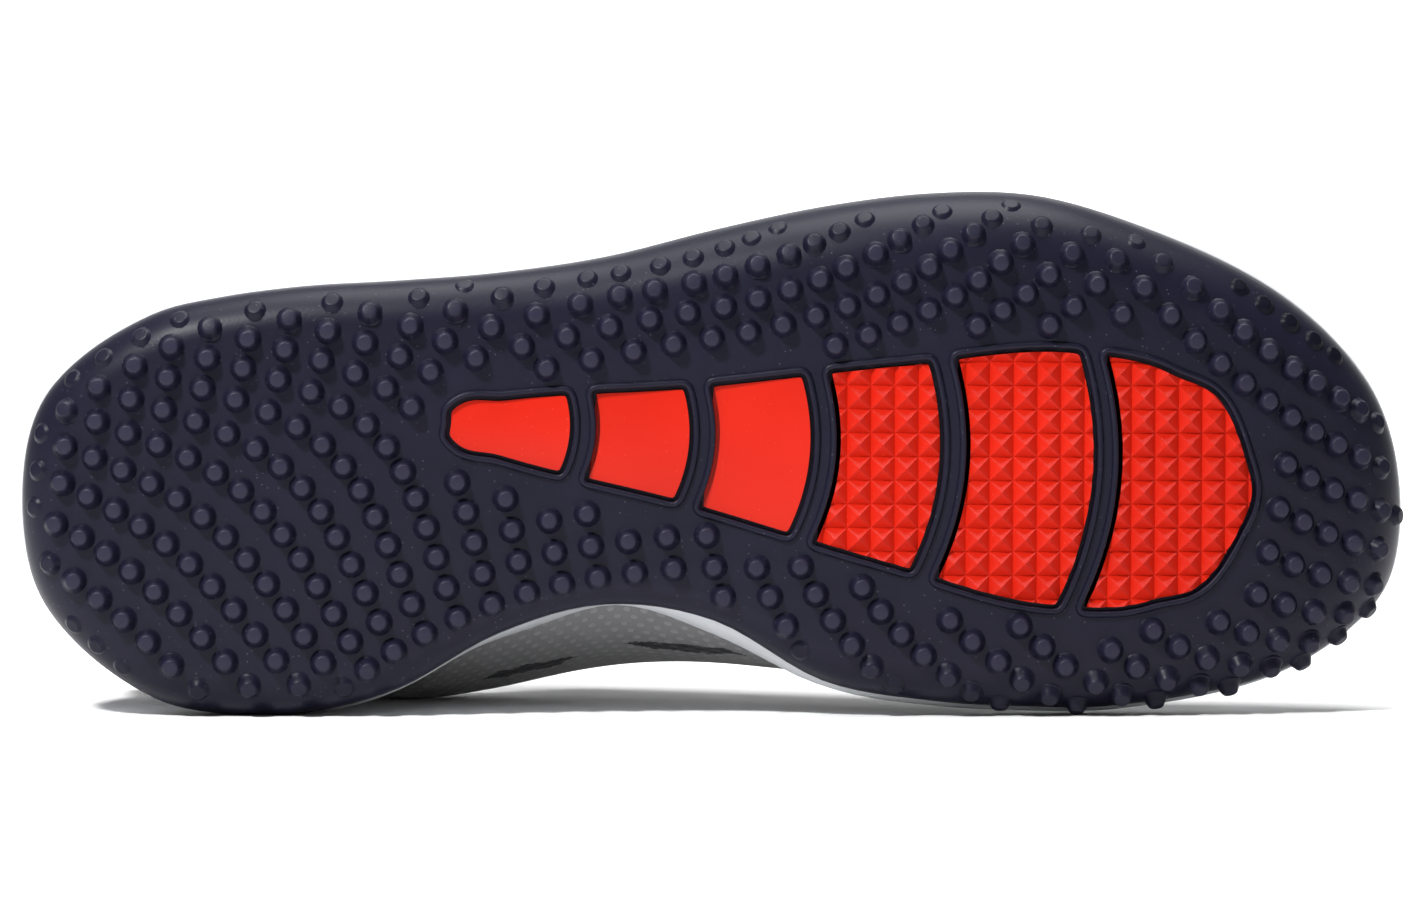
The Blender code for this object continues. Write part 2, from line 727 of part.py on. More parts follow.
def midsole(cup):
    """The foam wedge: it lies in the outsole and holds the upper's lower edge in its cup."""
    quarter = math.pi / 2
    depth = RUBBER + GAP
    rings = [sole_point(TURNS, quarter * share, depth) for share in (0, 0.5, 1)]
    ledge = rubber_lip(TURNS) + GAP
    inside = rings[-1].copy()
    inside[:, 2] = ledge
    outside = sole_point(TURNS, quarter, FOAM_INSET)
    outside[:, 2] = ledge
    rim = skin_point(TURNS, cup, CUP_CLEAR + CUP_WALL)
    belly = outside * (1 - BELLY_UP) + rim * BELLY_UP
    out = edge_normal(TURNS) * FOAM_BELLY
    belly[:, :2] += out
    rings += [inside, outside, belly, rim]
    rings += [skin_point(TURNS, cup * share, CUP_CLEAR) for share in (1, 0)]
    rings[-1][:, 2] = bed_height(rings[-1][:, 0])
    return ring_solid("midsole", rings, WHITE_FOAM)


# Upper


def upper(cup):
    """The shell: one hollow wall, open underneath, at the collar and along the throat."""
    zero = np.zeros(len(TURNS))
    rows = [zero, cup]
    rows += [cup + (1 - cup) * share for share in WALL_ROWS]
    rings = [skin_point(TURNS, row) for row in rows]
    rings[0][:, 2] = bed_height(rings[0][:, 0]) + GAP
    _, upward = last_frame(TURNS, rows[-1])
    lining = [lining_point(TURNS, row) for row in [zero, cup, *rows[2::2]][::-1]]
    rolled = (rings[-1] + lining[0]) / 2
    rolled += upward * wall_depth(TURNS, rows[-1])[:, None] * 0.4
    lining[-1][:, 2] = bed_height(lining[-1][:, 0]) + GAP
    return ring_solid("upper", rings + [rolled] + lining, GREY_MESH, hollow=True)


# Insole


def lining_outline(height, clear):
    """The lining's outline at a height above the bed, drawn in by a clearance."""
    foot_x = last_point(TURNS, np.zeros(len(TURNS)))[:, 0]
    z = bed_height(foot_x) + height
    rise = rise_at(TURNS, z)
    normal, _ = last_frame(TURNS, rise)
    flat = normal[:, :2]
    plan = flat / (flat**2).sum(axis=1, keepdims=True) * (WALL + clear)
    points = last_point(TURNS, rise)
    points[:, :2] -= plan
    points[:, 2] = bed_height(points[:, 0]) + height
    return points


def insole():
    """The footbed, lying on the midsole inside the upper."""
    low = lining_outline(GAP, INSOLE_CLEAR)
    high = lining_outline(GAP + INSOLE, INSOLE_CLEAR)
    return ring_solid("insole", [low, high], LINING_CLOTH)


# Tongue


def throat_chain(around, depth):
    """Points from under the inner eyestay, over the throat, to under the outer one."""
    edge = TONGUE_EDGE + TONGUE_NARROW * ease((0.70 - around) / 0.14)
    rises = np.array([edge, (edge + 1) / 2, 1.0, 1.0, (edge + 1) / 2, edge])
    turns = np.array([around] * 3 + [MIRROR_TURN - around] * 3)
    points = lining_point(turns, rises, depth)
    _, upward = last_frame(turns, rises)
    start, end = points[2], points[3]
    span = np.linalg.norm(end - start)
    first = start + upward[2] * span * 0.22
    second = end + upward[3] * span * 0.22
    crown = [
        (start * 8 + first * 12 + second * 6 + end) / 27,
        (start + first * 6 + second * 12 + end * 8) / 27,
    ]
    return np.array([*points[:3], *crown, *points[3:]])


def tongue():
    """A padded strip under the laces, from below the vamp to above the collar."""
    stations = [throat_chain(a, TONGUE_CLEAR) for a in np.linspace(0.84, 0.56, 7)]
    step = TONGUE_TUCK / 2
    front = stations[0]
    for number in (1, 2):
        ahead = front + np.array([step * number, 0, -step * number * 0.55])
        ahead[:, 1] = front[:, 1].mean() + (front[:, 1] - front[:, 1].mean()) * 0.92**number
        stations.insert(0, ahead)
    angle = math.radians(TONGUE_ANGLE)
    lift = np.array([-math.cos(angle), 0, math.sin(angle)]) * TONGUE_FREE
    back = stations[-1]
    for share in (0.3, 0.65, 1.0):
        higher = back + lift * share
        higher[:, 1] = back[:, 1].mean() + (back[:, 1] - back[:, 1].mean()) * (1 - TONGUE_TAPER * share)
        stations.append(higher)
    stations = np.array(stations)
    onward = np.gradient(stations, axis=0)
    sideways = np.gradient(stations, axis=1)
    down = unit(np.cross(onward, sideways))
    down *= -np.sign(down[..., 2:3])
    count = len(stations)
    thick = TONGUE * ease(np.linspace(0.25, 2.0, count))[:, None, None] + 0.0008
    work = bmesh.new()
    top = [[work.verts.new(p) for p in row] for row in stations]
    under = [[work.verts.new(p) for p in row] for row in stations + down * thick]
    for layer in (top, under):
        for row, following in zip(layer, layer[1:]):
            for i in range(len(row) - 1):
                work.faces.new((row[i], row[i + 1], following[i + 1], following[i]))
    for first, second in zip(range(count - 1), range(1, count)):
        for i in (0, -1):
            work.faces.new((top[first][i], top[second][i], under[second][i], under[first][i]))
    for end in (0, -1):
        for i in range(len(top[end]) - 1):
            work.faces.new((top[end][i], top[end][i + 1], under[end][i + 1], under[end][i]))
    return new_object("tongue", finish_mesh("tongue", work), GREY_MESH)


# Laces


def eyelet(pair, inner):
    """Turn and rise of an eyelet: pair 0 is nearest the toe."""
    around = EYELET_TO + (EYELET_FROM - EYELET_TO) * pair / (EYELET_PAIRS - 1)
    turn = around if inner else MIRROR_TURN - around
    rises = np.linspace(0.6, 1.0, 41)
    wall = last_point(np.full(41, turn), rises)
    left = np.cumsum(np.linalg.norm(np.diff(wall[::-1], axis=0), axis=1))
    return turn, 1.0 - np.interp(EYELET_INSET, left, np.arange(1, 41) * 0.01)


def lace_path(start_eyelet, end_eyelet):
    """Centre line of a stretch of lace over the eyestay, the throat and the other eyestay."""
    height = LACE_CLEAR + LACE_THICK / 2
    points, normals = [], []
    for turn, rise in (start_eyelet, end_eyelet):
        turns = np.full(2, turn)
        rises = np.array([rise, 1.0])
        edge = skin_point(turns, rises, height)
        normal, _ = last_frame(turns, rises)
        points.append(edge)
        normals.append(normal)
    middle = (points[0][1] + points[1][1]) / 2
    upright = unit(normals[0][1] + normals[1][1])
    middle = middle + upright * LACE_CROWN * np.linalg.norm(points[0][1] - points[1][1])
    path = np.array([*points[0], middle, *points[1][::-1]])
    faces = np.array([*normals[0], upright, *normals[1][::-1]])
    return path, faces


def lace_strip(number, start_eyelet, end_eyelet):
    """A flat stretch of lace along its path."""
    path, faces = lace_path(start_eyelet, end_eyelet)
    tangent = unit(np.gradient(path, axis=0))
    across = unit(np.cross(tangent, faces))
    upright = np.cross(across, tangent)
    path = np.concatenate([
        [path[0] - tangent[0] * LACE_END], path[1:-1], [path[-1] + tangent[-1] * LACE_END]
    ])
    work = bmesh.new()
    rings = []
    for i, place in enumerate(path):
        corners = []
        for side, level in ((-1, -1), (1, -1), (1, 1), (-1, 1)):
            offset = across[i] * side * LACE_WIDTH / 2 + upright[i] * level * LACE_THICK / 2
            corners.append(work.verts.new(place + offset))
        rings.append(corners)
    for low, high in zip(rings, rings[1:]):
        band(work, low, high)
    work.faces.new(rings[0])
    work.faces.new(rings[-1])
    name = f"lace_strip_{number}"
    return new_object(name, finish_mesh(name, work), None, LACE_STRIPS)


LACE_STRIPS = bpy.data.collections.new("lace_strips")


def laces():
    """The crossed lace: a bar at the toe end, then a cross between each two pairs of eyelets.
    Its hidden ends stop at the top eyelets."""
    CUTTERS.children.link(LACE_STRIPS)
    number = 0
    for pair in range(EYELET_PAIRS - 1):
        for inner in (True, False):
            number += 1
            helper(lace_strip(number, eyelet(pair, inner), eyelet(pair + 1, not inner)))
    bar = lace_strip(0, eyelet(0, True), eyelet(0, False))
    LACE_STRIPS.objects.unlink(bar)
    SHOE.objects.link(bar)
    bar.name = "laces"
    bar.data.materials.append(LACE_CLOTH)
    boolean(bar, LACE_STRIPS, "UNION")
    return bar


# Lying on its side


def world_triangles(obj):
    graph = bpy.context.evaluated_depsgraph_get()
    mesh = bpy.data.meshes.new_from_object(obj.evaluated_get(graph))
    mesh.calc_loop_triangles()
    points = np.array([v.co for v in mesh.vertices])
    faces = np.array([t.vertices for t in mesh.loop_triangles])
    bpy.data.meshes.remove(mesh)
    return points, faces


def balance(parts):
    """The corners of all parts and their common centre of mass."""
    corners, weight, moment = [], 0.0, np.zeros(3)
    for obj, density in parts:
        points, faces = world_triangles(obj)
        a, b, c = (points[faces[:, k]] for k in range(3))
        volumes = (a * np.cross(b, c)).sum(axis=1) / 6
        weight += density * volumes.sum()
        moment += density * ((a + b + c) / 4 * volumes[:, None]).sum(axis=0)
        corners.append(points)
    return np.concatenate(corners), moment / weight


def resting_side(corners, centre):
    """Outward normal and a corner of the flat on which the shoe rests on its inner side."""
    work = bmesh.new()
    for corner in corners:
        work.verts.new(corner)
    bmesh.ops.convex_hull(work, input=work.verts)
    bmesh.ops.triangulate(work, faces=work.faces)
    down, found = Vector((0, 1, 0)), None
    middle = Vector(centre)
    for _ in range(12):
        under = None
        for face in work.faces:
            normal = face.normal.copy()
            if normal.dot(face.verts[0].co - middle) < 0:
                normal.negate()
            facing = normal.dot(down)
            if facing <= 1e-6:
                continue
            reach = normal.dot(face.verts[0].co - middle) / facing
            if under is None or reach < under[0]:
                under = (reach, normal, face.verts[0].co.copy())
        if found and (under[1] - found[0]).length < 1e-7:
            break
        found = under[1:]
        down = under[1]
    work.free()
    return found


def lay_down(parts):
    """Hangs the parts on an empty that turns the resting side down, with the origin under the
    middle of the shoe."""
    corners, centre = balance(parts)
    down, foot = resting_side(corners, centre)
    toe = Vector((1, 0, 0))
    toe = (toe - down * toe.dot(down)).normalized()
    up = -down
    turned = Matrix((toe, up.cross(toe), up))
    laid = corners @ np.array(turned).T
    low, high = laid.min(axis=0), laid.max(axis=0)
    shift = Vector((-(low[0] + high[0]) / 2, -(low[1] + high[1]) / 2, -low[2]))
    lying = bpy.data.objects.new("lying_shoe", None)
    SHOE.objects.link(lying)
    lying.matrix_world = Matrix.Translation(shift) @ turned.to_4x4()
    bpy.context.view_layer.update()
    for obj, _ in parts:
        obj.parent = lying
    for cutter in CUTTERS.all_objects:
        cutter.parent = lying


def build():
    pads, pockets = insert_pads()
    cup = cup_rises()
    rubber = [outsole(pockets), *pads]
    foam = [midsole(cup), insole()]
    cloth = [upper(cup), tongue(), laces()]
    parts = [(obj, RUBBER_DENSITY) for obj in rubber]
    parts += [(obj, FOAM_DENSITY) for obj in foam]
    parts += [(obj, CLOTH_DENSITY) for obj in cloth]
    bpy.context.view_layer.update()
    lay_down(parts)


build()
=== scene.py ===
import math

import bmesh
import bpy
import numpy as np
from mathutils import Matrix, Vector


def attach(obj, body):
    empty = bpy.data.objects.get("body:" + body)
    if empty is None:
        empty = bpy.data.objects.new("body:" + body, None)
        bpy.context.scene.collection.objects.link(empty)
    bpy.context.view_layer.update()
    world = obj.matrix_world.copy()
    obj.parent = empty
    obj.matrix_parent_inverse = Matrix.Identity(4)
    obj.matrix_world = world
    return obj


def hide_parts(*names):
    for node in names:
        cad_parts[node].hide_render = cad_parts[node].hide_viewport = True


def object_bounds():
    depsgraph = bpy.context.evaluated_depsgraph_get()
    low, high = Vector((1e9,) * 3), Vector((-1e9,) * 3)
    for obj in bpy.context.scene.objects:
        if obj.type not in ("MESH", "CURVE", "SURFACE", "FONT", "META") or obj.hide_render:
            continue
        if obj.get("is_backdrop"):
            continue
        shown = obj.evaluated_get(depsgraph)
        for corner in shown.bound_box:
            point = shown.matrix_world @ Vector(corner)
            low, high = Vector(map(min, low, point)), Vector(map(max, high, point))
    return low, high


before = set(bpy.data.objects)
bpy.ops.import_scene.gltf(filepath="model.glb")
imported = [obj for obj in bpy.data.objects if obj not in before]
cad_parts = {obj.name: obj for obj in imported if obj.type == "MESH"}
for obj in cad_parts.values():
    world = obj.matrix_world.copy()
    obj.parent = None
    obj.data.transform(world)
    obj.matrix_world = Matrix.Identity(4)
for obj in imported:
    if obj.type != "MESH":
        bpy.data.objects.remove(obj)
cad_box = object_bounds()

# The shoe's own axes: x runs from heel to toe, y to the inner side of the foot, z up from the
# ground. It lies on the edge of its sole and the side of its collar, so each piece is made
# upright here and laid down at the end.
RESTING_SIDE = Vector((0.002861, 0.999939, -0.010690))
LYING_SHIFT = Vector((-0.149813, -0.056984, 0.046458))


def lying():
    toe = Vector((1, 0, 0))
    toe = (toe - RESTING_SIDE * toe.dot(RESTING_SIDE)).normalized()
    up = -RESTING_SIDE.normalized()
    turned = Matrix((toe, up.cross(toe), up))
    return Matrix.Translation(LYING_SHIFT) @ turned.to_4x4()


LYING = lying()


def lay_piece(name, mesh, slot, *nodes):
    """Lays a finished mesh down as a piece of the shoe, in the place of CAD nodes if any."""
    mesh.transform(LYING)
    piece = bpy.data.objects.new(name, mesh)
    bpy.context.scene.collection.objects.link(piece)
    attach(piece, "root")
    if nodes:
        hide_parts(*nodes)
    return piece


def made_mesh(obj):
    """The plain mesh that an object's modifiers give. The object is removed."""
    graph = bpy.context.evaluated_depsgraph_get()
    mesh = bpy.data.meshes.new_from_object(obj.evaluated_get(graph))
    bpy.data.objects.remove(obj)
    return mesh


def helper(name, mesh):
    obj = bpy.data.objects.new(name, mesh)
    bpy.context.scene.collection.objects.link(obj)
    return obj


# Outsole: one moulding of navy rubber. Its underside is flat across, springs up at the toe and
# is bevelled at the heel, and its edge rolls up round the foam. Pockets take the red pads.

SOLE_LENGTH = 0.300
BALL_WIDTH = 0.112
TOE_SPRING = 0.014
HEEL_BEVEL = 0.004
ARCH_LIFT = 0.0015
EDGE_ROLL = 0.012
GAP = 0.0003
STUD_HEIGHT = 0.0030
RUBBER = 0.0028
LIP_RISE = 0.0012
SPRING_FROM = 0.66
BEVEL_TO = 0.14
MIRROR_TURN = 2.0
COLUMNS = 120
TURNS = np.arange(2 * COLUMNS) / COLUMNS

# Half widths are shares of the ball's width, and rolls are shares of the edge roll. Around runs
# from 0 at the heel to 1 at the toe on either side.
OUTLINE = [
    # around, inner, outer, inner roll, outer roll
    (0.00, 0.000, 0.000, 0.80, 0.80),
    (0.05, 0.138, 0.133, 0.80, 0.80),
    (0.10, 0.234, 0.226, 0.82, 0.80),
    (0.20, 0.383, 0.359, 0.85, 0.80),
    (0.25, 0.414, 0.393, 0.85, 0.80),
    (0.30, 0.411, 0.414, 0.80, 0.80),
    (0.35, 0.362, 0.425, 0.60, 0.85),
    (0.40, 0.254, 0.441, 0.45, 0.90),
    (0.45, 0.198, 0.472, 0.42, 1.00),
    (0.50, 0.229, 0.525, 0.50, 1.10),
    (0.55, 0.345, 0.570, 0.70, 1.20),
    (0.60, 0.384, 0.596, 0.85, 1.25),
    (0.65, 0.396, 0.594, 0.90, 1.25),
    (0.70, 0.394, 0.547, 0.90, 1.20),
    (0.80, 0.338, 0.412, 0.95, 1.05),
    (0.90, 0.219, 0.228, 1.00, 1.00),
    (0.95, 0.143, 0.114, 1.00, 1.00),
    (1.00, 0.022, -0.022, 1.00, 1.00),
]


def closed_curve(rows, inner, outer, sign):
    """A smooth closed curve round the shoe through a table's inner and outer columns."""
    table = np.array(rows, float)
    knots = np.concatenate([table[:, 0], MIRROR_TURN - table[-2:0:-1, 0]])
    values = np.concatenate([table[:, inner], sign * table[-2:0:-1, outer]])
    before, after = np.roll(knots, 1), np.roll(knots, -1)
    before[0] -= MIRROR_TURN
    after[-1] += MIRROR_TURN
    slopes = (np.roll(values, -1) - np.roll(values, 1)) / (after - before)

    def at(turn):
        turn = np.mod(turn, MIRROR_TURN)
        k = np.clip(np.searchsorted(knots, turn, side="right") - 1, 0, len(knots) - 1)
        following = (k + 1) % len(knots)
        step = after[k] - knots[k]
        u = (turn - knots[k]) / step
        return (
            values[k] * (1 + 2 * u) * (1 - u) ** 2
            + slopes[k] * step * u * (1 - u) ** 2
            + values[following] * u * u * (3 - 2 * u)
            + slopes[following] * step * u * u * (u - 1)
        )

    return at


def open_curve(rows, column):
    """A smooth curve through one column of a table, against its first column."""
    table = np.array(rows, float)
    knots, values = table[:, 0], table[:, column]
    slopes = np.gradient(values, knots)

    def at(share):
        share = np.clip(share, knots[0], knots[-1])
        k = np.clip(np.searchsorted(knots, share, side="right") - 1, 0, len(knots) - 2)
        step = knots[k + 1] - knots[k]
        u = (share - knots[k]) / step
        return (
            values[k] * (1 + 2 * u) * (1 - u) ** 2
            + slopes[k] * step * u * (1 - u) ** 2
            + values[k + 1] * u * u * (3 - 2 * u)
            + slopes[k + 1] * step * u * u * (u - 1)
        )

    return at


sole_side = closed_curve(OUTLINE, 1, 2, -1)
sole_roll = closed_curve(OUTLINE, 3, 4, 1)


def stack(x, y, z):
    return np.stack(np.broadcast_arrays(x, y, z), axis=-1)


def unit(vectors):
    return vectors / np.linalg.norm(vectors, axis=-1, keepdims=True)


def ease(share):
    share = np.clip(share, 0, 1)
    return share * share * (3 - 2 * share)


def along(turn):
    return (1 - np.cos(np.pi * np.asarray(turn, float))) / 2


def around_share(turn):
    turn = np.mod(turn, MIRROR_TURN)
    return np.where(turn <= 1, turn, MIRROR_TURN - turn)


def sole_edge(turn):
    return np.stack(
        [SOLE_LENGTH * along(turn), BALL_WIDTH * sole_side(turn)], axis=-1
    )


def edge_normal(turn):
    step = 0.004
    tangent = unit(sole_edge(turn + step) - sole_edge(turn - step))
    return np.stack([-tangent[..., 1], tangent[..., 0]], axis=-1)


def spring(x):
    share = np.clip((x / SOLE_LENGTH - SPRING_FROM) / (1 - SPRING_FROM), 0, None)
    return TOE_SPRING * share**2


def tread_height(x):
    share = x / SOLE_LENGTH
    bevel = HEEL_BEVEL * np.clip(1 - share / BEVEL_TO, 0, None) ** 2
    arch = ARCH_LIFT * ease((share - 0.25) / 0.15) * ease((0.62 - share) / 0.15)
    return STUD_HEIGHT + spring(x) + bevel + arch


def sole_point(turn, angle, depth):
    """A point of the sole, depth inside its skin. The angle runs round the rolled edge, from 0
    underneath to a right angle at the side."""
    edge, normal = sole_edge(turn), edge_normal(turn)
    roll = EDGE_ROLL * sole_roll(turn)
    inward = roll - (roll - depth) * math.sin(angle)
    plan = edge - normal * inward[..., None]
    z = tread_height(plan[..., 0]) + roll - (roll - depth) * math.cos(angle)
    return stack(plan[..., 0], plan[..., 1], z)


def rubber_lip(turn):
    edge = sole_edge(turn)
    return tread_height(edge[..., 0]) + EDGE_ROLL * sole_roll(turn) + LIP_RISE


def bridged(work, ring):
    """Closes a ring of the shoe's outline with strips from its inner to its outer side."""
    count = len(ring)
    half = count // 2
    faces = [work.faces.new((ring[0], ring[1], ring[-1]))]
    for i in range(1, half - 1):
        faces.append(
            work.faces.new((ring[i], ring[i + 1], ring[count - i - 1], ring[count - i]))
        )
    faces.append(work.faces.new((ring[half - 1], ring[half], ring[half + 1])))
    return faces


def ring_mesh(name, rings, ends="strips", parts=None, level=0):
    """A smooth mesh lofted through closed rings, with a map in metres: u runs round the ring
    numbered level and v runs across the rings. Ends are strips, joined or open. Parts gives
    each face's material slot by ring and column."""
    rings = np.array(rings, float)
    if ends == "joined":
        rings = np.concatenate([rings, rings[:1]])
    work = bmesh.new()
    layer = work.loops.layers.uv.new("UVMap")
    count = rings.shape[1]
    lengths = np.linalg.norm(np.roll(rings[level], -1, axis=0) - rings[level], axis=1)
    u = np.concatenate([[0], np.cumsum(lengths)])
    rise = np.linalg.norm(np.diff(rings, axis=0), axis=2)
    v = np.concatenate([np.zeros((1, count)), np.cumsum(rise, axis=0)])
    loops = [[work.verts.new(point) for point in ring] for ring in rings]
    if ends == "joined":
        loops[-1] = loops[0]
    for r in range(len(loops) - 1):
        for i in range(count):
            j = (i + 1) % count
            face = work.faces.new((loops[r][i], loops[r][j], loops[r + 1][j], loops[r + 1][i]))
            corners = ((i, r, i), (i + 1, r, j), (i + 1, r + 1, j), (i, r + 1, i))
            for loop, (column, row, place) in zip(face.loops, corners):
                loop[layer].uv = (u[column], v[row, place])
            if parts is not None:
                face.material_index = int(parts[r][i])
    if ends == "strips":
        for ring in (loops[0], loops[-1]):
            for face in bridged(work, ring):
                for loop in face.loops:
                    loop[layer].uv = loop.vert.co.xy
    loose = [vert for vert in work.verts if not vert.link_faces]
    bmesh.ops.delete(work, geom=loose, context="VERTS")
    bmesh.ops.recalc_face_normals(work, faces=work.faces)
    for face in work.faces:
        face.smooth = True
    mesh = bpy.data.meshes.new(name)
    work.to_mesh(mesh)
    work.free()
    return mesh


# The field of six pads is a leaf, wide under the ball and narrow under the arch.
PAD_POCKET = 0.0016
PAD_MARGIN = 0.0009
PAD_BRIDGE = 0.0046
PAD_BOW = 0.20
LEAF_HEEL = (0.300, -0.155)
LEAF_TOE = (0.893, -0.015)
LEAF_WIDTH = 0.056
PAD_CUTS = [0.0, 0.17, 0.31, 0.45, 0.60, 0.78, 1.0]
LEAF = [
    # share of the leaf's length, half width
    (0.00, 0.00),
    (0.02, 0.15),
    (0.08, 0.24),
    (0.30, 0.46),
    (0.55, 0.78),
    (0.76, 1.00),
    (0.88, 0.90),
    (0.96, 0.58),
    (1.00, 0.00),
]
leaf_half = open_curve(LEAF, 1)


def leaf_frame():
    heel = np.array([LEAF_HEEL[0] * SOLE_LENGTH, LEAF_HEEL[1] * BALL_WIDTH])
    toe = np.array([LEAF_TOE[0] * SOLE_LENGTH, LEAF_TOE[1] * BALL_WIDTH])
    length = np.linalg.norm(toe - heel)
    forward = (toe - heel) / length
    return heel, forward, np.array([-forward[1], forward[0]]), length


def leaf_point(share, side):
    """A point of the leaf in plan. Cuts across it bow towards the toe at its middle."""
    heel, forward, sideways, length = leaf_frame()
    half = LEAF_WIDTH / 2 * leaf_half(share)
    bow = PAD_BOW * half * (1 - side * side)
    return heel + forward * (share * length + bow) + sideways * (side * half)


def softened(points, spacing, passes):
    """A closed outline with evenly spaced points and rounded corners."""
    around = np.concatenate([points, points[:1]])
    lengths = np.concatenate([[0], np.cumsum(np.linalg.norm(np.diff(around, axis=0), axis=1))])
    places = np.linspace(0, lengths[-1], int(lengths[-1] / spacing) + 1)[:-1]
    even = np.stack([np.interp(places, lengths, around[:, k]) for k in (0, 1)], axis=-1)
    for _ in range(passes):
        even = even / 2 + (np.roll(even, 1, axis=0) + np.roll(even, -1, axis=0)) / 4
    return even


def grown(points, distance):
    tangent = unit(np.roll(points, -1, axis=0) - np.roll(points, 1, axis=0))
    outward = np.stack([tangent[:, 1], -tangent[:, 0]], axis=-1)
    facing = np.sign(((points - points.mean(axis=0)) * outward).sum())
    return points + outward * facing * distance


def pocket_edge(start_share, end_share):
    _, _, _, length = leaf_frame()
    bridge = PAD_BRIDGE / 2 / length
    first = start_share + (bridge if start_share > 0 else 0.012)
    last = end_share - (bridge if end_share < 1 else 0.012)
    sides, shares = np.linspace(-1, 1, 15), np.linspace(first, last, 24)[1:-1]
    points = [leaf_point(first, side) for side in sides]
    points += [leaf_point(share, 1.0) for share in shares]
    points += [leaf_point(last, side) for side in sides[::-1]]
    points += [leaf_point(share, -1.0) for share in shares[::-1]]
    return softened(np.array(points), 0.0005, 8)


POCKETS = [pocket_edge(first, last) for first, last in zip(PAD_CUTS, PAD_CUTS[1:])]


def plate_mesh(name, outline, low, high):
    """A plate over an outline in plan, between two heights measured from the tread."""
    ground = tread_height(outline[:, 0])
    work = bmesh.new()
    lower = [work.verts.new((x, y, g + low)) for (x, y), g in zip(outline, ground)]
    upper = [work.verts.new((x, y, g + high)) for (x, y), g in zip(outline, ground)]
    for i in range(len(outline)):
        j = (i + 1) % len(outline)
        work.faces.new((lower[i], lower[j], upper[j], upper[i]))
    work.faces.new(lower)
    work.faces.new(upper)
    bmesh.ops.recalc_face_normals(work, faces=work.faces)
    mesh = bpy.data.meshes.new(name)
    work.to_mesh(mesh)
    work.free()
    return mesh


def outsole_mesh():
    quarter = math.pi / 2
    rings = [sole_point(TURNS, quarter * share, 0.0) for share in np.linspace(0, 1, 10)]
    inner = [sole_point(TURNS, quarter * share, RUBBER) for share in (1, 0.67, 0.34, 0)]
    for wall in (rings[-1], inner[0]):
        lip = wall.copy()
        lip[:, 2] = rubber_lip(TURNS)
        rings.append(lip)
    sole = helper("sole_blank", ring_mesh("sole_blank", rings + inner))
    cutters = []
    for number, edge in enumerate(POCKETS):
        cutter = helper(f"cutter_{number}", plate_mesh("cutter", edge, -0.004, PAD_POCKET))
        step = sole.modifiers.new(cutter.name, "BOOLEAN")
        step.operation = "DIFFERENCE"
        step.object = cutter
        cutters.append(cutter)
    bpy.context.view_layer.update()
    mesh = made_mesh(sole)
    for cutter in cutters:
        bpy.data.objects.remove(cutter)
    mesh.set_sharp_from_angle(angle=math.radians(35))
    return mesh


def add(tree, kind, inputs=None, **settings):
    """A node with its settings, and its inputs as values or as sockets to link."""
    made = tree.nodes.new(kind)
    for name, value in settings.items():
        setattr(made, name, value)
    for key, value in (inputs or {}).items():
        if isinstance(value, bpy.types.NodeSocket):
            tree.links.new(value, made.inputs[key])
        else:
            made.inputs[key].default_value = value
    return made


def effect(name, inputs, outputs):
    """An empty shader node group with named inputs and outputs."""
    tree = bpy.data.node_groups.new(name, "ShaderNodeTree")
    for label, kind in inputs:
        tree.interface.new_socket(label, in_out="INPUT", socket_type=f"NodeSocket{kind}")
    for label, kind in outputs:
        tree.interface.new_socket(label, in_out="OUTPUT", socket_type=f"NodeSocket{kind}")
    return tree, add(tree, "NodeGroupInput"), add(tree, "NodeGroupOutput")


def fresh_material(name, roughness, **values):
    made = bpy.data.materials.new(name)
    made.use_nodes = True
    shader = made.node_tree.nodes["Principled BSDF"]
    shader.inputs["Specular IOR Level"].default_value = 0.14
    shader.inputs["Roughness"].default_value = roughness
    for label, value in values.items():
        shader.inputs[label.replace("_", " ")].default_value = value
    return made, made.node_tree, shader


def moulded_rubber():
    """Fine grain and pale specks of moulded rubber, as a speck mask and a height."""
    tree, given, wanted = effect(
        "moulded_rubber",
        [("Vector", "Vector"), ("Grain", "Float"), ("Speck", "Float")],
        [("Specks", "Float"), ("Height", "Float"), ("Tone", "Float")],
    )
    grain = add(tree, "ShaderNodeTexNoise", {
        "Vector": given.outputs["Vector"], "Scale": given.outputs["Grain"],
        "Detail": 3.0, "Roughness": 0.6,
    })
    dots = add(tree, "ShaderNodeTexVoronoi", {
        "Vector": given.outputs["Vector"], "Scale": given.outputs["Speck"],
    })
    near = add(tree, "ShaderNodeMapRange", {
        "Value": dots.outputs["Distance"], "From Min": 0.14, "From Max": 0.05,
    })
    chance = add(tree, "ShaderNodeSeparateColor", {"Color": dots.outputs["Color"]})
    rare = add(tree, "ShaderNodeMath", {0: chance.outputs[0], 1: 0.72}, operation="GREATER_THAN")
    specks = add(tree, "ShaderNodeMath", {
        0: near.outputs["Result"], 1: rare.outputs[0],
    }, operation="MULTIPLY")
    cloud = add(tree, "ShaderNodeTexNoise", {
        "Vector": given.outputs["Vector"], "Scale": 45.0, "Detail": 2.0,
    })
    tree.links.new(specks.outputs[0], wanted.inputs["Specks"])
    tree.links.new(grain.outputs["Fac"], wanted.inputs["Height"])
    tree.links.new(cloud.outputs["Fac"], wanted.inputs["Tone"])
    return tree


MOULDED_RUBBER = moulded_rubber()


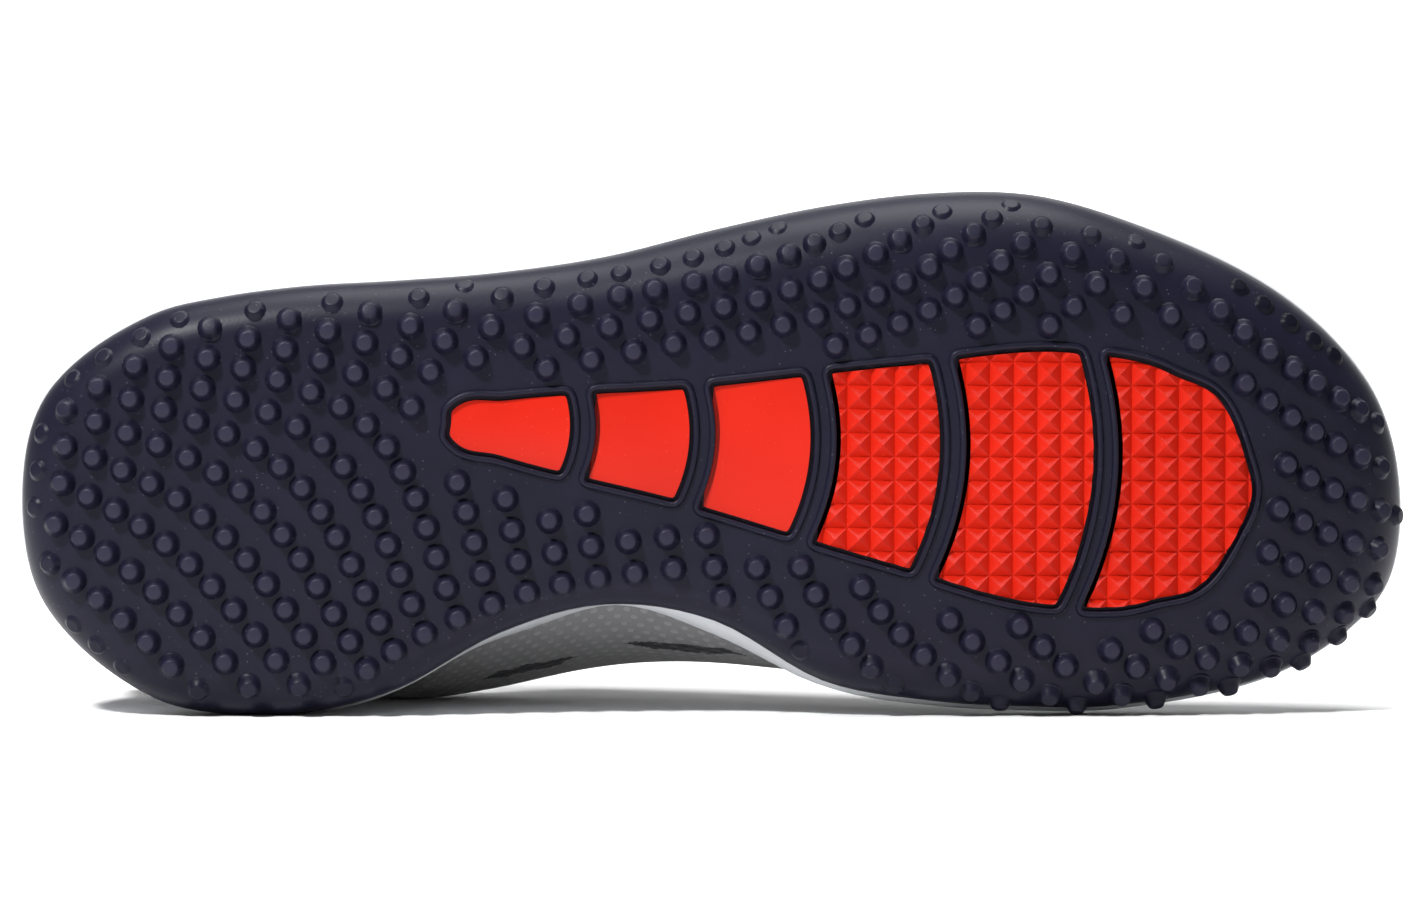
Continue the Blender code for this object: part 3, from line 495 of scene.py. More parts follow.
def rubber_material(name, dark, light, speck, roughness, grain_depth, tip_light_and_wear=None):
    """Rubber with grain and specks. Where it has studs, their tips are mixed to a lighter tone:
    painted light on the tops, and partly wear.
    """
    made, tree, shader = fresh_material(name, roughness)
    place = add(tree, "ShaderNodeTexCoord")
    skin = add(tree, "ShaderNodeGroup", node_tree=MOULDED_RUBBER)
    tree.links.new(place.outputs["Object"], skin.inputs["Vector"])
    skin.inputs["Grain"].default_value = 1700.0
    skin.inputs["Speck"].default_value = 900.0
    tone = add(tree, "ShaderNodeMix", {
        0: skin.outputs["Tone"], "A": (*dark, 1), "B": (*light, 1),
    }, data_type="RGBA")
    speckled = add(tree, "ShaderNodeMix", {
        0: skin.outputs["Specks"], "A": tone.outputs["Result"], "B": (*speck, 1),
    }, data_type="RGBA")
    bump = add(tree, "ShaderNodeBump", {
        "Height": skin.outputs["Height"], "Strength": 0.35, "Distance": grain_depth,
    })
    # Full-height stud tips are painted lighter: painted light on the tops, where the rubber between
    # the studs would lie in shade, and partly wear.
    if tip_light_and_wear:
        tip = add(tree, "ShaderNodeAttribute", attribute_name="tip")
        size = add(tree, "ShaderNodeAttribute", attribute_name="size")
        top = add(tree, "ShaderNodeMapRange", {
            "Value": tip.outputs["Fac"], "From Min": 1.6, "From Max": 3.0,
        })
        whole = add(tree, "ShaderNodeMapRange", {
            "Value": size.outputs["Fac"], "From Min": 0.6, "From Max": 1.0,
        })
        tip_light_and_wear_mask = add(tree, "ShaderNodeMath", {
            0: top.outputs["Result"], 1: whole.outputs["Result"],
        }, operation="MULTIPLY")
        speckled = add(tree, "ShaderNodeMix", {
            0: tip_light_and_wear_mask.outputs[0], "A": speckled.outputs["Result"], "B": (*tip_light_and_wear, 1),
        }, data_type="RGBA")
    tree.links.new(speckled.outputs["Result"], shader.inputs["Base Color"])
    tree.links.new(bump.outputs["Normal"], shader.inputs["Normal"])
    return made


# The given tip tone paints this rubber's stud tips lighter: painted light, and partly wear.
NAVY_RUBBER = rubber_material(
    "navy_rubber", (0.0056, 0.0053, 0.0130), (0.0092, 0.0088, 0.0210), (0.10, 0.10, 0.13), 0.40,
    0.00010, tip_light_and_wear=(0.0175, 0.0165, 0.0320),
)
outsole = outsole_mesh()
outsole.materials.clear()
outsole.materials.append(NAVY_RUBBER)
lay_piece("outsole_shell", outsole, "navy_rubber", "outsole")


# Studs: about 390 small blunt cones of the same rubber, moulded with the outsole. They stand
# along arcs that sweep across the sole and spread out from the arch, and they climb a little way
# up the rolled edge, where they fade out.

STUD_BASE = 0.0055
STUD_SINK = 0.0008
STUD_LIMIT = 66
STUD_SETTLE = 0.0007
WINDOW_RIM = 0.0016
STUD_SIDES = 14
STUD_ARCS = [
    # arc, x and y of studs 0, 7, 14, 21 and 28, counted from the outer side
    (-2, -0.136, 0.152, -0.005, 0.353, 0.124, 0.706, 0.260, 1.057, 0.392, 1.411),
    (2, -0.046, -0.062, 0.083, 0.133, 0.200, 0.451, 0.323, 0.800, 0.445, 1.145),
    (6, 0.037, -0.242, 0.190, -0.069, 0.271, 0.285, 0.346, 0.711, 0.425, 1.128),
    (10, 0.144, -0.396, 0.315, -0.214, 0.366, 0.173, 0.415, 0.622, 0.485, 1.057),
    (14, 0.268, -0.566, 0.442, -0.291, 0.471, 0.126, 0.538, 0.551, 0.657, 0.897),
    (18, 0.375, -0.628, 0.549, -0.343, 0.594, 0.108, 0.705, 0.405, 0.872, 0.640),
    (22, 0.455, -0.766, 0.635, -0.426, 0.728, -0.030, 0.833, 0.274, 1.010, 0.356),
    (26, 0.532, -0.927, 0.699, -0.555, 0.824, -0.163, 0.941, 0.059, 1.090, 0.145),
    (30, 0.603, -1.089, 0.756, -0.717, 0.897, -0.389, 1.023, -0.202, 1.167, -0.127),
]
STUD_STEPS = (0, 7, 14, 21, 28)
LAST_ARC = 31
STUD_CLIMB = [
    # around, how far up the rolled edge as shares of the limit, and how much height is lost
    # there: inner climb, outer climb, inner loss, outer loss
    (0.00, 0.75, 0.75, 0.70, 0.70),
    (0.25, 0.70, 0.80, 0.70, 0.70),
    (0.45, 0.40, 0.85, 0.70, 0.70),
    (0.52, 0.38, 0.85, 0.70, 0.70),
    (0.60, 0.85, 0.85, 0.50, 0.70),
    (0.70, 1.15, 0.83, 0.25, 0.70),
    (0.80, 1.15, 0.80, 0.25, 0.65),
    (0.90, 1.05, 0.88, 0.40, 0.60),
    (1.00, 0.95, 0.95, 0.50, 0.50),
]
STUD_PROFILE = [
    # height over the rubber and radius, in millimetres
    (-0.80, 3.00),
    (-0.02, 3.00),
    (0.10, 2.80),
    (0.40, 2.62),
    (1.40, 2.24),
    (2.50, 1.80),
    (2.80, 1.64),
    (2.96, 1.46),
    (3.00, 1.22),
]
stud_reach = closed_curve(STUD_CLIMB, 1, 2, 1)
stud_loss = closed_curve(STUD_CLIMB, 3, 4, 1)
arc_curves = [open_curve(STUD_ARCS, column) for column in range(1, len(STUD_ARCS[0]))]


def leaf_distance(point):
    """How far a point in plan lies outside the leaf, or a negative number inside it."""
    heel, forward, sideways, length = leaf_frame()
    shares = np.linspace(0, 1, 60)
    edge = np.array([leaf_point(s, side) for side in (-1, 1) for s in shares])
    nearest = np.linalg.norm(edge - point, axis=1).min()
    share = (point - heel) @ forward / length
    inside = 0 < share < 1
    inside = inside and abs((point - heel) @ sideways) < LEAF_WIDTH / 2 * leaf_half(share)
    return -nearest if inside else nearest


def stud_arc(arc):
    """Plan of all the studs on one arc of the field."""
    places = [float(curve(arc)) for curve in arc_curves]
    rows = list(zip(STUD_STEPS, places[::2], places[1::2]))
    number = np.arange(STUD_STEPS[-1] + 1)
    x = SOLE_LENGTH * open_curve(rows, 1)(number)
    y = BALL_WIDTH * open_curve(rows, 2)(number)
    return np.stack([x, y], axis=-1)


def stud_places():
    """Foot, direction and size of each stud, on the tread and up its rolled edge."""
    dense = np.arange(800) / 400
    edge, normal = sole_edge(dense), edge_normal(dense)
    roll = EDGE_ROLL * sole_roll(dense)
    places = []
    for spot in np.concatenate([stud_arc(arc) for arc in range(-1, LAST_ARC + 1)]):
        offset = spot - edge
        near = np.linalg.norm(offset, axis=1).argmin()
        reach = -(offset[near] @ normal[near]) + (math.pi / 2 - 1) * roll[near]
        if leaf_distance(spot) < STUD_BASE / 2 + WINDOW_RIM:
            continue
        if reach > math.pi / 2 * roll[near]:
            x, y = spot
            slope = (tread_height(x + GAP) - tread_height(x - GAP)) / (2 * GAP)
            places.append(((x, y, tread_height(x)), unit(np.array([slope, 0, -1])), 1.0))
            continue
        angle = math.pi / 2 - reach / roll[near]
        limit = math.radians(STUD_LIMIT * float(stud_reach(dense[near])))
        if angle > limit:
            continue
        lost = float(stud_loss(dense[near])) * ease(angle / limit)
        foot = sole_point(dense[near : near + 1], angle, STUD_SETTLE * lost)[0]
        out = normal[near] * math.sin(angle)
        facing = np.array([out[0], out[1], -math.cos(angle)])
        places.append((foot, facing, 1 - lost))
    return places


def turned_mesh(name, profile, sides):
    """A small solid turned about z from rows of height and radius in millimetres."""
    work = bmesh.new()
    rings = []
    for height, radius in profile:
        rings.append([
            work.verts.new((
                radius / 1000 * math.cos(2 * math.pi * i / sides),
                radius / 1000 * math.sin(2 * math.pi * i / sides),
                height / 1000,
            ))
            for i in range(sides)
        ])
    for low, high in zip(rings, rings[1:]):
        for i in range(sides):
            j = (i + 1) % sides
            work.faces.new((low[i], low[j], high[j], high[i]))
    work.faces.new(rings[0][::-1])
    work.faces.new(rings[-1])
    for face in work.faces:
        face.smooth = True
    mesh = bpy.data.meshes.new(name)
    work.to_mesh(mesh)
    work.free()
    tip = mesh.attributes.new("tip", "FLOAT", "POINT")
    tip.data.foreach_set("value", [vert.co.z * 1000 for vert in mesh.vertices])
    return mesh


def point_cloud(name, places):
    """Loose vertices that carry a direction and a size each."""
    mesh = bpy.data.meshes.new(name)
    mesh.from_pydata([tuple(foot) for foot, _, _ in places], [], [])
    facing = mesh.attributes.new("facing", "FLOAT_VECTOR", "POINT")
    facing.data.foreach_set("vector", np.array([d for _, d, _ in places], float).ravel())
    size = mesh.attributes.new("size", "FLOAT", "POINT")
    size.data.foreach_set("value", np.array([s for _, _, s in places], float))
    return mesh


def set_out_tree():
    """Geometry nodes that set one small piece out on points, turned to each point's facing."""
    tree = bpy.data.node_groups.new("set_out", "GeometryNodeTree")
    for label, kind in (
        ("Geometry", "Geometry"), ("Piece", "Object"), ("Height", "Float"), ("Finish", "Material"),
    ):
        tree.interface.new_socket(label, in_out="INPUT", socket_type=f"NodeSocket{kind}")
    tree.interface.new_socket("Geometry", in_out="OUTPUT", socket_type="NodeSocketGeometry")
    given, wanted = add(tree, "NodeGroupInput"), add(tree, "NodeGroupOutput")
    facing = add(tree, "GeometryNodeInputNamedAttribute", {"Name": "facing"},
                 data_type="FLOAT_VECTOR")
    size = add(tree, "GeometryNodeInputNamedAttribute", {"Name": "size"}, data_type="FLOAT")
    turn = add(tree, "FunctionNodeAlignRotationToVector", {
        "Vector": facing.outputs["Attribute"],
    }, axis="Z")
    wide = add(tree, "ShaderNodeMapRange", {
        "Value": size.outputs["Attribute"], "To Min": 0.95, "To Max": 1.0,
    })
    tall = add(tree, "ShaderNodeMath", {
        0: size.outputs["Attribute"], 1: given.outputs["Height"],
    }, operation="MULTIPLY")
    scale = add(tree, "ShaderNodeCombineXYZ", {
        "X": wide.outputs["Result"], "Y": wide.outputs["Result"], "Z": tall.outputs[0],
    })
    piece = add(tree, "GeometryNodeObjectInfo", {"Object": given.outputs["Piece"]})
    set_out = add(tree, "GeometryNodeInstanceOnPoints", {
        "Points": given.outputs["Geometry"], "Instance": piece.outputs["Geometry"],
        "Rotation": turn.outputs["Rotation"], "Scale": scale.outputs["Vector"],
    })
    real = add(tree, "GeometryNodeRealizeInstances", {"Geometry": set_out.outputs["Instances"]})
    finish = add(tree, "GeometryNodeSetMaterial", {
        "Geometry": real.outputs["Geometry"], "Material": given.outputs["Finish"],
    })
    tree.links.new(finish.outputs["Geometry"], wanted.inputs["Geometry"])
    return tree


SET_OUT = set_out_tree()


def run_tree(name, mesh, tree, values):
    """The plain mesh that a geometry node tree makes of a mesh, with its named inputs set."""
    obj = helper(name, mesh)
    step = obj.modifiers.new(tree.name, "NODES")
    step.node_group = tree
    for item in tree.interface.items_tree:
        if item.item_type == "SOCKET" and item.in_out == "INPUT" and item.name in values:
            step[item.identifier] = values[item.name]
    bpy.context.view_layer.update()
    made = made_mesh(obj)
    made.name = name
    return made


stud = helper("stud_blank", turned_mesh("stud_blank", STUD_PROFILE, STUD_SIDES))
studs = run_tree("studs", point_cloud("stud_points", stud_places()), SET_OUT,
                 {"Piece": stud, "Height": 1.0, "Finish": NAVY_RUBBER})
bpy.data.objects.remove(stud)
lay_piece("studs", studs, "navy_rubber")


# Pad rims: a rounded bead of the outsole's rubber round each pocket, moulded with it.

RIM_PROFILE = [
    # distance outside the pocket's edge, and height under the tread, in millimetres
    (0.00, -0.40),
    (0.02, 0.55),
    (0.22, 0.82),
    (0.62, 0.92),
    (1.02, 0.78),
    (1.30, 0.35),
    (1.55, -0.40),
]


def rim_mesh(number, edge):
    rings = []
    for distance, height in RIM_PROFILE:
        plan = grown(edge, distance / 1000)
        rings.append(stack(plan[:, 0], plan[:, 1], tread_height(plan[:, 0]) - height / 1000))
    mesh = ring_mesh(f"pad_rim_{number}", rings, ends="joined")
    mesh.materials.append(NAVY_RUBBER)
    return mesh


for number, edge in enumerate(POCKETS, 1):
    lay_piece(f"pad_rim_{number}", rim_mesh(number, edge), "navy_rubber")


# Insert pads: red rubber, pressed into the pockets. The three under the ball carry small
# pyramids, and the three under the arch are smooth and slope towards the heel.

PYRAMID_PITCH = 0.0051
PYRAMID_HEIGHT = 0.0022
PYRAMID_PADS = (4, 5, 6)
PAD_SETBACK = 0.0009
SMOOTH_CROWN = 0.0005
RED_RUBBER = rubber_material(
    "red_rubber", (0.42, 0.010, 0.0035), (0.53, 0.015, 0.005), (0.60, 0.07, 0.04), 0.32, 0.00006
)


def pyramid(x, y):
    """Height of a field of square pyramids, as a share of one."""
    across = 2 * abs((x / PYRAMID_PITCH) % 1 - 0.5)
    onward = 2 * abs((y / PYRAMID_PITCH) % 1 - 0.5)
    return 1 - max(across, onward)


def pad_mesh(number, edge):
    outline = grown(edge, -PAD_MARGIN)
    work = bmesh.new()
    work.faces.new([work.verts.new((x, y, 0)) for x, y in outline])
    low, high = outline.min(axis=0), outline.max(axis=0)
    middle = (low + high) / 2
    if number in PYRAMID_PADS:
        cuts = []
        for k in range(int(low[0] / PYRAMID_PITCH) - 1, int(high[0] / PYRAMID_PITCH) + 2):
            cuts.append(((k * PYRAMID_PITCH, 0), (1, 0)))
        for k in range(int(low[1] / PYRAMID_PITCH) - 2, int(high[1] / PYRAMID_PITCH) + 2):
            cuts.append(((0, k * PYRAMID_PITCH), (0, 1)))
        for k in range(-70, 71):
            cuts.append(((k * PYRAMID_PITCH, 0), (1, 1)))
            cuts.append(((k * PYRAMID_PITCH, 0), (1, -1)))
    else:
        cuts = [((x, 0), (1, 0)) for x in np.linspace(low[0], high[0], 12)[1:-1]]
        cuts += [((0, y), (0, 1)) for y in np.linspace(low[1], high[1], 12)[1:-1]]
    for (x, y), (a, b) in cuts:
        bmesh.ops.bisect_plane(
            work, geom=list(work.verts) + list(work.edges) + list(work.faces), dist=1e-6,
            plane_co=(x, y, 0), plane_no=(a, b, 0),
        )
    for vert in work.verts:
        x, y, _ = vert.co
        ground = tread_height(x) + PAD_SETBACK
        if number in PYRAMID_PADS:
            rise = PYRAMID_HEIGHT * pyramid(x, y)
        else:
            span = (high - low) / 2
            rise = SMOOTH_CROWN * (1 - ((y - middle[1]) / span[1]) ** 2)
            rise += PAD_SETBACK * (x - low[0]) / (high[0] - low[0])
        vert.co.z = ground - rise
    for face in work.faces:
        face.smooth = number not in PYRAMID_PADS
    edges = [e for e in work.edges if e.is_boundary]
    walls = bmesh.ops.extrude_edge_only(work, edges=edges)["geom"]
    for vert in walls:
        if isinstance(vert, bmesh.types.BMVert):
            vert.co.z = tread_height(vert.co.x) + PAD_POCKET - GAP
    bmesh.ops.holes_fill(work, edges=[e for e in work.edges if e.is_boundary])
    bmesh.ops.recalc_face_normals(work, faces=work.faces)
    mesh = bpy.data.meshes.new(f"pad_{number}")
    work.to_mesh(mesh)
    work.free()
    mesh.materials.append(RED_RUBBER)
    mesh.set_sharp_from_angle(angle=math.radians(25))
    return mesh


for number, edge in enumerate(POCKETS, 1):
    lay_piece(f"pad_{number}", pad_mesh(number, edge), "red_rubber", f"insert_{number}")


# Upper, first its shape: the midsole's cup follows it. A rib of the wall runs from the lower
# edge over a flank and a knee to the top line of collar and throat.

BACK_HEIGHT = 0.097
HEEL_FOAM = 0.0200
BALL_FOAM = 0.0090
FOAM_FROM = 0.32
FOAM_TO = 0.66
HEEL_TUCK = 0.0085
TOE_TUCK = 0.0060
CUP_HEIGHT = 0.0080
WALL = 0.0022
COLLAR_PAD = 0.0042
OVERLAY = 0.0010
EYESTAY_FROM = 0.79
TOE_TOP = 0.385
HEEL_TOP = 0.60
STEP_RUN = 0.015
TOE_COLUMN = 104
HEEL_COLUMN = 26
EYESTAY_COLUMN = 55
FEATHER = [
    # around, inner, outer, inner swell, outer swell, rise, inner cup, outer cup
    (0.00, 0.000, 0.000, 0.063, 0.063, 0.175, 1.15, 1.15),
    (0.10, 0.185, 0.185, 0.063, 0.063, 0.175, 1.10, 1.10),
    (0.20, 0.290, 0.282, 0.055, 0.055, 0.175, 1.05, 1.05),
    (0.30, 0.322, 0.330, 0.055, 0.050, 0.175, 0.92, 1.00),
    (0.35, 0.288, 0.342, 0.086, 0.046, 0.175, 0.72, 1.00),
    (0.40, 0.222, 0.355, 0.136, 0.045, 0.175, 0.52, 1.00),
    (0.45, 0.165, 0.382, 0.198, 0.042, 0.175, 0.40, 0.95),
    (0.50, 0.215, 0.420, 0.155, 0.040, 0.165, 0.50, 0.90),
    (0.55, 0.303, 0.458, 0.078, 0.038, 0.165, 0.75, 0.85),
    (0.60, 0.335, 0.486, 0.054, 0.040, 0.165, 0.80, 0.80),
    (0.70, 0.348, 0.470, 0.042, 0.045, 0.165, 0.80, 0.80),
    (0.80, 0.296, 0.372, 0.040, 0.045, 0.175, 0.85, 0.85),
    (0.90, 0.180, 0.195, 0.045, 0.045, 0.195, 0.95, 0.95),
    (1.00, 0.022, -0.022, 0.050, 0.050, 0.215, 1.05, 1.05),
]
CROWN = [
    # around, knee x, inner, outer, z, top x, inner, outer, inner z, outer z
    (0.00, 0.005, 0.018, -0.018, 0.742, 0.023, 0.018, -0.018, 1.000, 1.000),
    (0.10, 0.022, 0.210, 0.165, 0.732, 0.040, 0.178, 0.125, 0.985, 0.985),
    (0.20, 0.100, 0.348, 0.295, 0.680, 0.107, 0.312, 0.232, 0.897, 0.890),
    (0.30, 0.207, 0.442, 0.370, 0.640, 0.207, 0.384, 0.304, 0.804, 0.780),
    (0.35, 0.273, 0.469, 0.380, 0.629, 0.267, 0.393, 0.312, 0.789, 0.758),
    (0.40, 0.337, 0.455, 0.366, 0.660, 0.323, 0.362, 0.286, 0.825, 0.800),
    (0.45, 0.383, 0.426, 0.348, 0.732, 0.367, 0.295, 0.214, 0.918, 0.905),
    (0.50, 0.423, 0.390, 0.335, 0.825, 0.400, 0.228, 0.130, 1.000, 1.000),
    (0.55, 0.477, 0.348, 0.335, 0.825, 0.443, 0.188, 0.094, 0.959, 0.959),
    (0.60, 0.540, 0.335, 0.344, 0.768, 0.493, 0.156, 0.080, 0.892, 0.892),
    (0.70, 0.653, 0.277, 0.330, 0.660, 0.570, 0.107, 0.071, 0.778, 0.778),
    (0.80, 0.750, 0.188, 0.237, 0.608, 0.620, 0.071, 0.054, 0.711, 0.711),
    (0.90, 0.823, 0.094, 0.116, 0.582, 0.643, 0.040, 0.022, 0.686, 0.686),
    (1.00, 0.847, 0.018, -0.018, 0.572, 0.650, 0.009, -0.009, 0.678, 0.678),
]
feather_side = closed_curve(FEATHER, 1, 2, -1)
feather_swell = closed_curve(FEATHER, 3, 4, 1)
feather_rise = closed_curve(FEATHER, 5, 5, 1)
cup_share = closed_curve(FEATHER, 6, 7, 1)
knee_x = closed_curve(CROWN, 1, 1, 1)
knee_side = closed_curve(CROWN, 2, 3, -1)
knee_z = closed_curve(CROWN, 4, 4, 1)
top_x = closed_curve(CROWN, 5, 5, 1)
top_side = closed_curve(CROWN, 6, 7, -1)
top_z = closed_curve(CROWN, 8, 9, 1)


def bed_height(x):
    """Height of the midsole's bed, on which the upper and the insole stand."""
    share = (x / SOLE_LENGTH - FOAM_FROM) / (FOAM_TO - FOAM_FROM)
    foam = HEEL_FOAM + (BALL_FOAM - HEEL_FOAM) * ease(share)
    return STUD_HEIGHT + RUBBER + GAP + foam + spring(x)


def fan(turn):
    """The direction in plan in which the upper's wall swells."""
    lean = 2 * np.abs(1 - np.mod(turn, MIRROR_TURN)) - 1
    angle = np.pi / 2 * (1 - np.sign(lean) * np.abs(lean) ** 3)
    side = np.where(np.mod(turn, MIRROR_TURN) <= 1, 1.0, -1.0)
    return np.stack([-np.cos(angle), side * np.sin(angle)], axis=-1)


def last_point(turn, rise):
    """A point of the smooth wall, from its lower edge at rise 0 to the top line at rise 1."""
    foot_x = HEEL_TUCK + (SOLE_LENGTH - HEEL_TUCK - TOE_TUCK) * along(turn)
    foot = stack(foot_x, BALL_WIDTH * feather_side(turn), bed_height(foot_x) + GAP)
    swell = fan(turn) * (BALL_WIDTH * feather_swell(turn))[..., None]
    lift = BACK_HEIGHT * feather_rise(turn)
    flank = foot + stack(swell[..., 0], swell[..., 1], lift)
    knee = stack(
        SOLE_LENGTH * knee_x(turn), BALL_WIDTH * knee_side(turn), BACK_HEIGHT * knee_z(turn)
    )
    top = stack(
        SOLE_LENGTH * top_x(turn), BALL_WIDTH * top_side(turn), BACK_HEIGHT * top_z(turn)
    )
    t = np.asarray(rise, float)[..., None]
    return (
        foot * (1 - t) ** 3
        + flank * 3 * t * (1 - t) ** 2
        + knee * 3 * t * t * (1 - t)
        + top * t**3
    )


def last_frame(turn, rise):
    """The wall's outward normal and its upward direction."""
    step = 0.004
    low, high = np.clip(rise - step, 0, 1), np.clip(rise + step, 0, 1)
    upward = last_point(turn, high) - last_point(turn, low)
    onward = last_point(turn + step, rise) - last_point(turn - step, rise)
    return unit(np.cross(upward, onward)), unit(upward)


def wall_depth(turn, rise):
    collar = ease((0.53 - around_share(turn)) / 0.08)
    return WALL + COLLAR_PAD * collar * ease((rise - 0.55) / 0.35)


def toe_guard(turn, rise):
    return ease(around_share(turn) * COLUMNS - TOE_COLUMN) * ease((TOE_TOP - rise) / STEP_RUN)


def heel_counter(turn, rise):
    return ease(HEEL_COLUMN - around_share(turn) * COLUMNS) * ease((HEEL_TOP - rise) / STEP_RUN)


def eyestay(turn, rise):
    passed = ease(around_share(turn) * COLUMNS - EYESTAY_COLUMN)
    return passed * ease((rise - EYESTAY_FROM) / STEP_RUN)


def overlay_step(turn, rise):
    return OVERLAY * np.maximum(
        toe_guard(turn, rise), np.maximum(heel_counter(turn, rise), eyestay(turn, rise))
    )


def skin_point(turn, rise, clear=0.0):
    normal, _ = last_frame(turn, rise)
    out = overlay_step(turn, rise) + clear
    return last_point(turn, rise) + normal * out[..., None]


def lining_point(turn, rise, clear=0.0):
    normal, _ = last_frame(turn, rise)
    depth = wall_depth(turn, rise) + clear
    return last_point(turn, rise) - normal * depth[..., None]


def rise_at(turn, height):
    """How far up the wall it reaches a height, near its lower edge."""
    rises = np.linspace(0, 0.6, 121)
    found = []
    for one_turn, one_height in zip(turn, height):
        z = last_point(np.full(121, one_turn), rises)[:, 2]
        found.append(np.interp(one_height, z, rises))
    return np.array(found)


FOOT_X = last_point(TURNS, np.zeros(len(TURNS)))[:, 0]
CUP = rise_at(TURNS, bed_height(FOOT_X) + CUP_HEIGHT * cup_share(TURNS))


# Midsole: a wedge of white foam, thick under the heel. It is glued into the outsole's edge and
# its rim cups the upper.

CUP_WALL = 0.0026
CUP_CLEAR = 0.0006
FOAM_INSET = 0.0002
FOAM_BELLY = 0.0016
BELLY_UP = 0.30


def waist(turn):
    """How far a turn lies in the arch, where the foam is trimmed flush and thin."""
    share = ease((turn - 0.32) / 0.07) * ease((0.60 - turn) / 0.08)
    return share * (1 - 0.7 * ease((turn - 0.44) / 0.07))


def midsole_mesh():
    quarter = math.pi / 2
    depth = RUBBER + GAP
    rings = [sole_point(TURNS, quarter * share, depth) for share in np.linspace(0, 1, 5)]
    ledge = rubber_lip(TURNS) + GAP
    inside = rings[-1].copy()
    inside[:, 2] = ledge
    outside = sole_point(TURNS, quarter, FOAM_INSET)
    outside[:, 2] = ledge
    rim = skin_point(TURNS, CUP, CUP_CLEAR + CUP_WALL * (1 - 0.6 * waist(TURNS)))
    out = stack(*(edge_normal(TURNS) * FOAM_BELLY * (1 - waist(TURNS))[:, None]).T, 0)
    rings += [inside, outside * 0.6 + inside * 0.4, outside]
    for share in (0.04, 0.15, 0.30, 0.45, 0.60, 0.75, 0.88, 0.96):
        belly = 4 * share * (1 - share) if share > BELLY_UP else 1 - (1 - share / BELLY_UP) ** 2
        rings.append(outside * (1 - share) + rim * share + out * min(belly, 1.0))
    _, upward = last_frame(TURNS, CUP)
    inner = skin_point(TURNS, CUP, CUP_CLEAR)
    rings.append(rim * 0.97 + inner * 0.03)
    rings.append(rim * 0.80 + inner * 0.20 + upward * 0.0005)
    rings.append(rim * 0.45 + inner * 0.55 + upward * 0.0006)
    rings.append(rim * 0.12 + inner * 0.88 + upward * 0.0003)
    rings += [skin_point(TURNS, CUP * share, CUP_CLEAR) for share in (1, 0.66, 0.33, 0)]
    rings[-1][:, 2] = bed_height(rings[-1][:, 0])
    mesh = ring_mesh("midsole", rings, level=7)
    mesh.set_sharp_from_angle(angle=math.radians(50))
    return mesh


def foam_material():
    made, tree, shader = fresh_material("white_foam", 0.55)
    place = add(tree, "ShaderNodeTexCoord")
    cells = add(tree, "ShaderNodeTexVoronoi", {"Vector": place.outputs["Object"], "Scale": 1300.0})
    cloud = add(tree, "ShaderNodeTexNoise", {
        "Vector": place.outputs["Object"], "Scale": 30.0, "Detail": 4.0,
    })
    tone = add(tree, "ShaderNodeMix", {
        0: cloud.outputs["Fac"], "A": (0.46, 0.48, 0.51, 1), "B": (0.55, 0.56, 0.58, 1),
    }, data_type="RGBA")
    bump = add(tree, "ShaderNodeBump", {
        "Height": cells.outputs["Distance"], "Strength": 0.25, "Distance": 0.0001,
    })
    tree.links.new(tone.outputs["Result"], shader.inputs["Base Color"])
    tree.links.new(bump.outputs["Normal"], shader.inputs["Normal"])
    return made


midsole = midsole_mesh()
midsole.materials.append(foam_material())
lay_piece("midsole_foam", midsole, "white_foam", "midsole")


# Upper, now its cloth: one shell of grey hexagon mesh, with a toe guard, heel counter and
# eyestay of smooth navy film on top of it, and a padded dark lining round the collar.

# Rows of the mesh follow the overlays' edges, so each edge is one clean step.
ROW_LEVELS = (TOE_TOP - STEP_RUN, TOE_TOP, HEEL_TOP - STEP_RUN, HEEL_TOP, EYESTAY_FROM,
              EYESTAY_FROM + STEP_RUN)
ROW_COUNTS = (16, 1, 14, 1, 13, 1, 18)


def upper_mesh():
    zero = np.zeros(len(TURNS))
    rows = [zero, CUP * 0.5, CUP]
    levels = [CUP, *(zero + level for level in ROW_LEVELS), zero + 1]
    for low, high, count in zip(levels, levels[1:], ROW_COUNTS):
        rows += [low + (high - low) * share for share in np.linspace(0, 1, count + 1)[1:]]
    outside = [skin_point(TURNS, row) for row in rows]
    outside[0][:, 2] = bed_height(outside[0][:, 0]) + GAP
    _, upward = last_frame(TURNS, rows[-1])
    depth = wall_depth(TURNS, rows[-1])[:, None]
    inside_rows = [zero, CUP] + rows[6::4] + ([rows[-1]] if (len(rows) - 7) % 4 else [])
    inside = [lining_point(TURNS, row) for row in inside_rows[::-1]]
    inside[-1][:, 2] = bed_height(inside[-1][:, 0]) + GAP
    roll = []
    for share in (0.15, 0.35, 0.5, 0.65, 0.85):
        level = upward * depth * 0.42 * math.sin(math.pi * share) ** 0.7
        roll.append(outside[-1] * (1 - share) + inside[0] * share + level)
    rings = outside + roll + inside
    parts = np.zeros((len(rings), len(TURNS)), int)
    for r, (row, above) in enumerate(zip(rows, rows[1:])):
        parts[r] = overlay_step(TURNS + 0.5 / COLUMNS, (row + above) / 2) > OVERLAY * 0.3
    collar = around_share(TURNS) < 0.47
    last = len(rows) - 1
    parts[last : last + 5] = np.where(collar, 2, 1)
    parts[last + 5 :] = 2
    return ring_mesh("upper", rings, ends="joined", parts=parts, level=24)


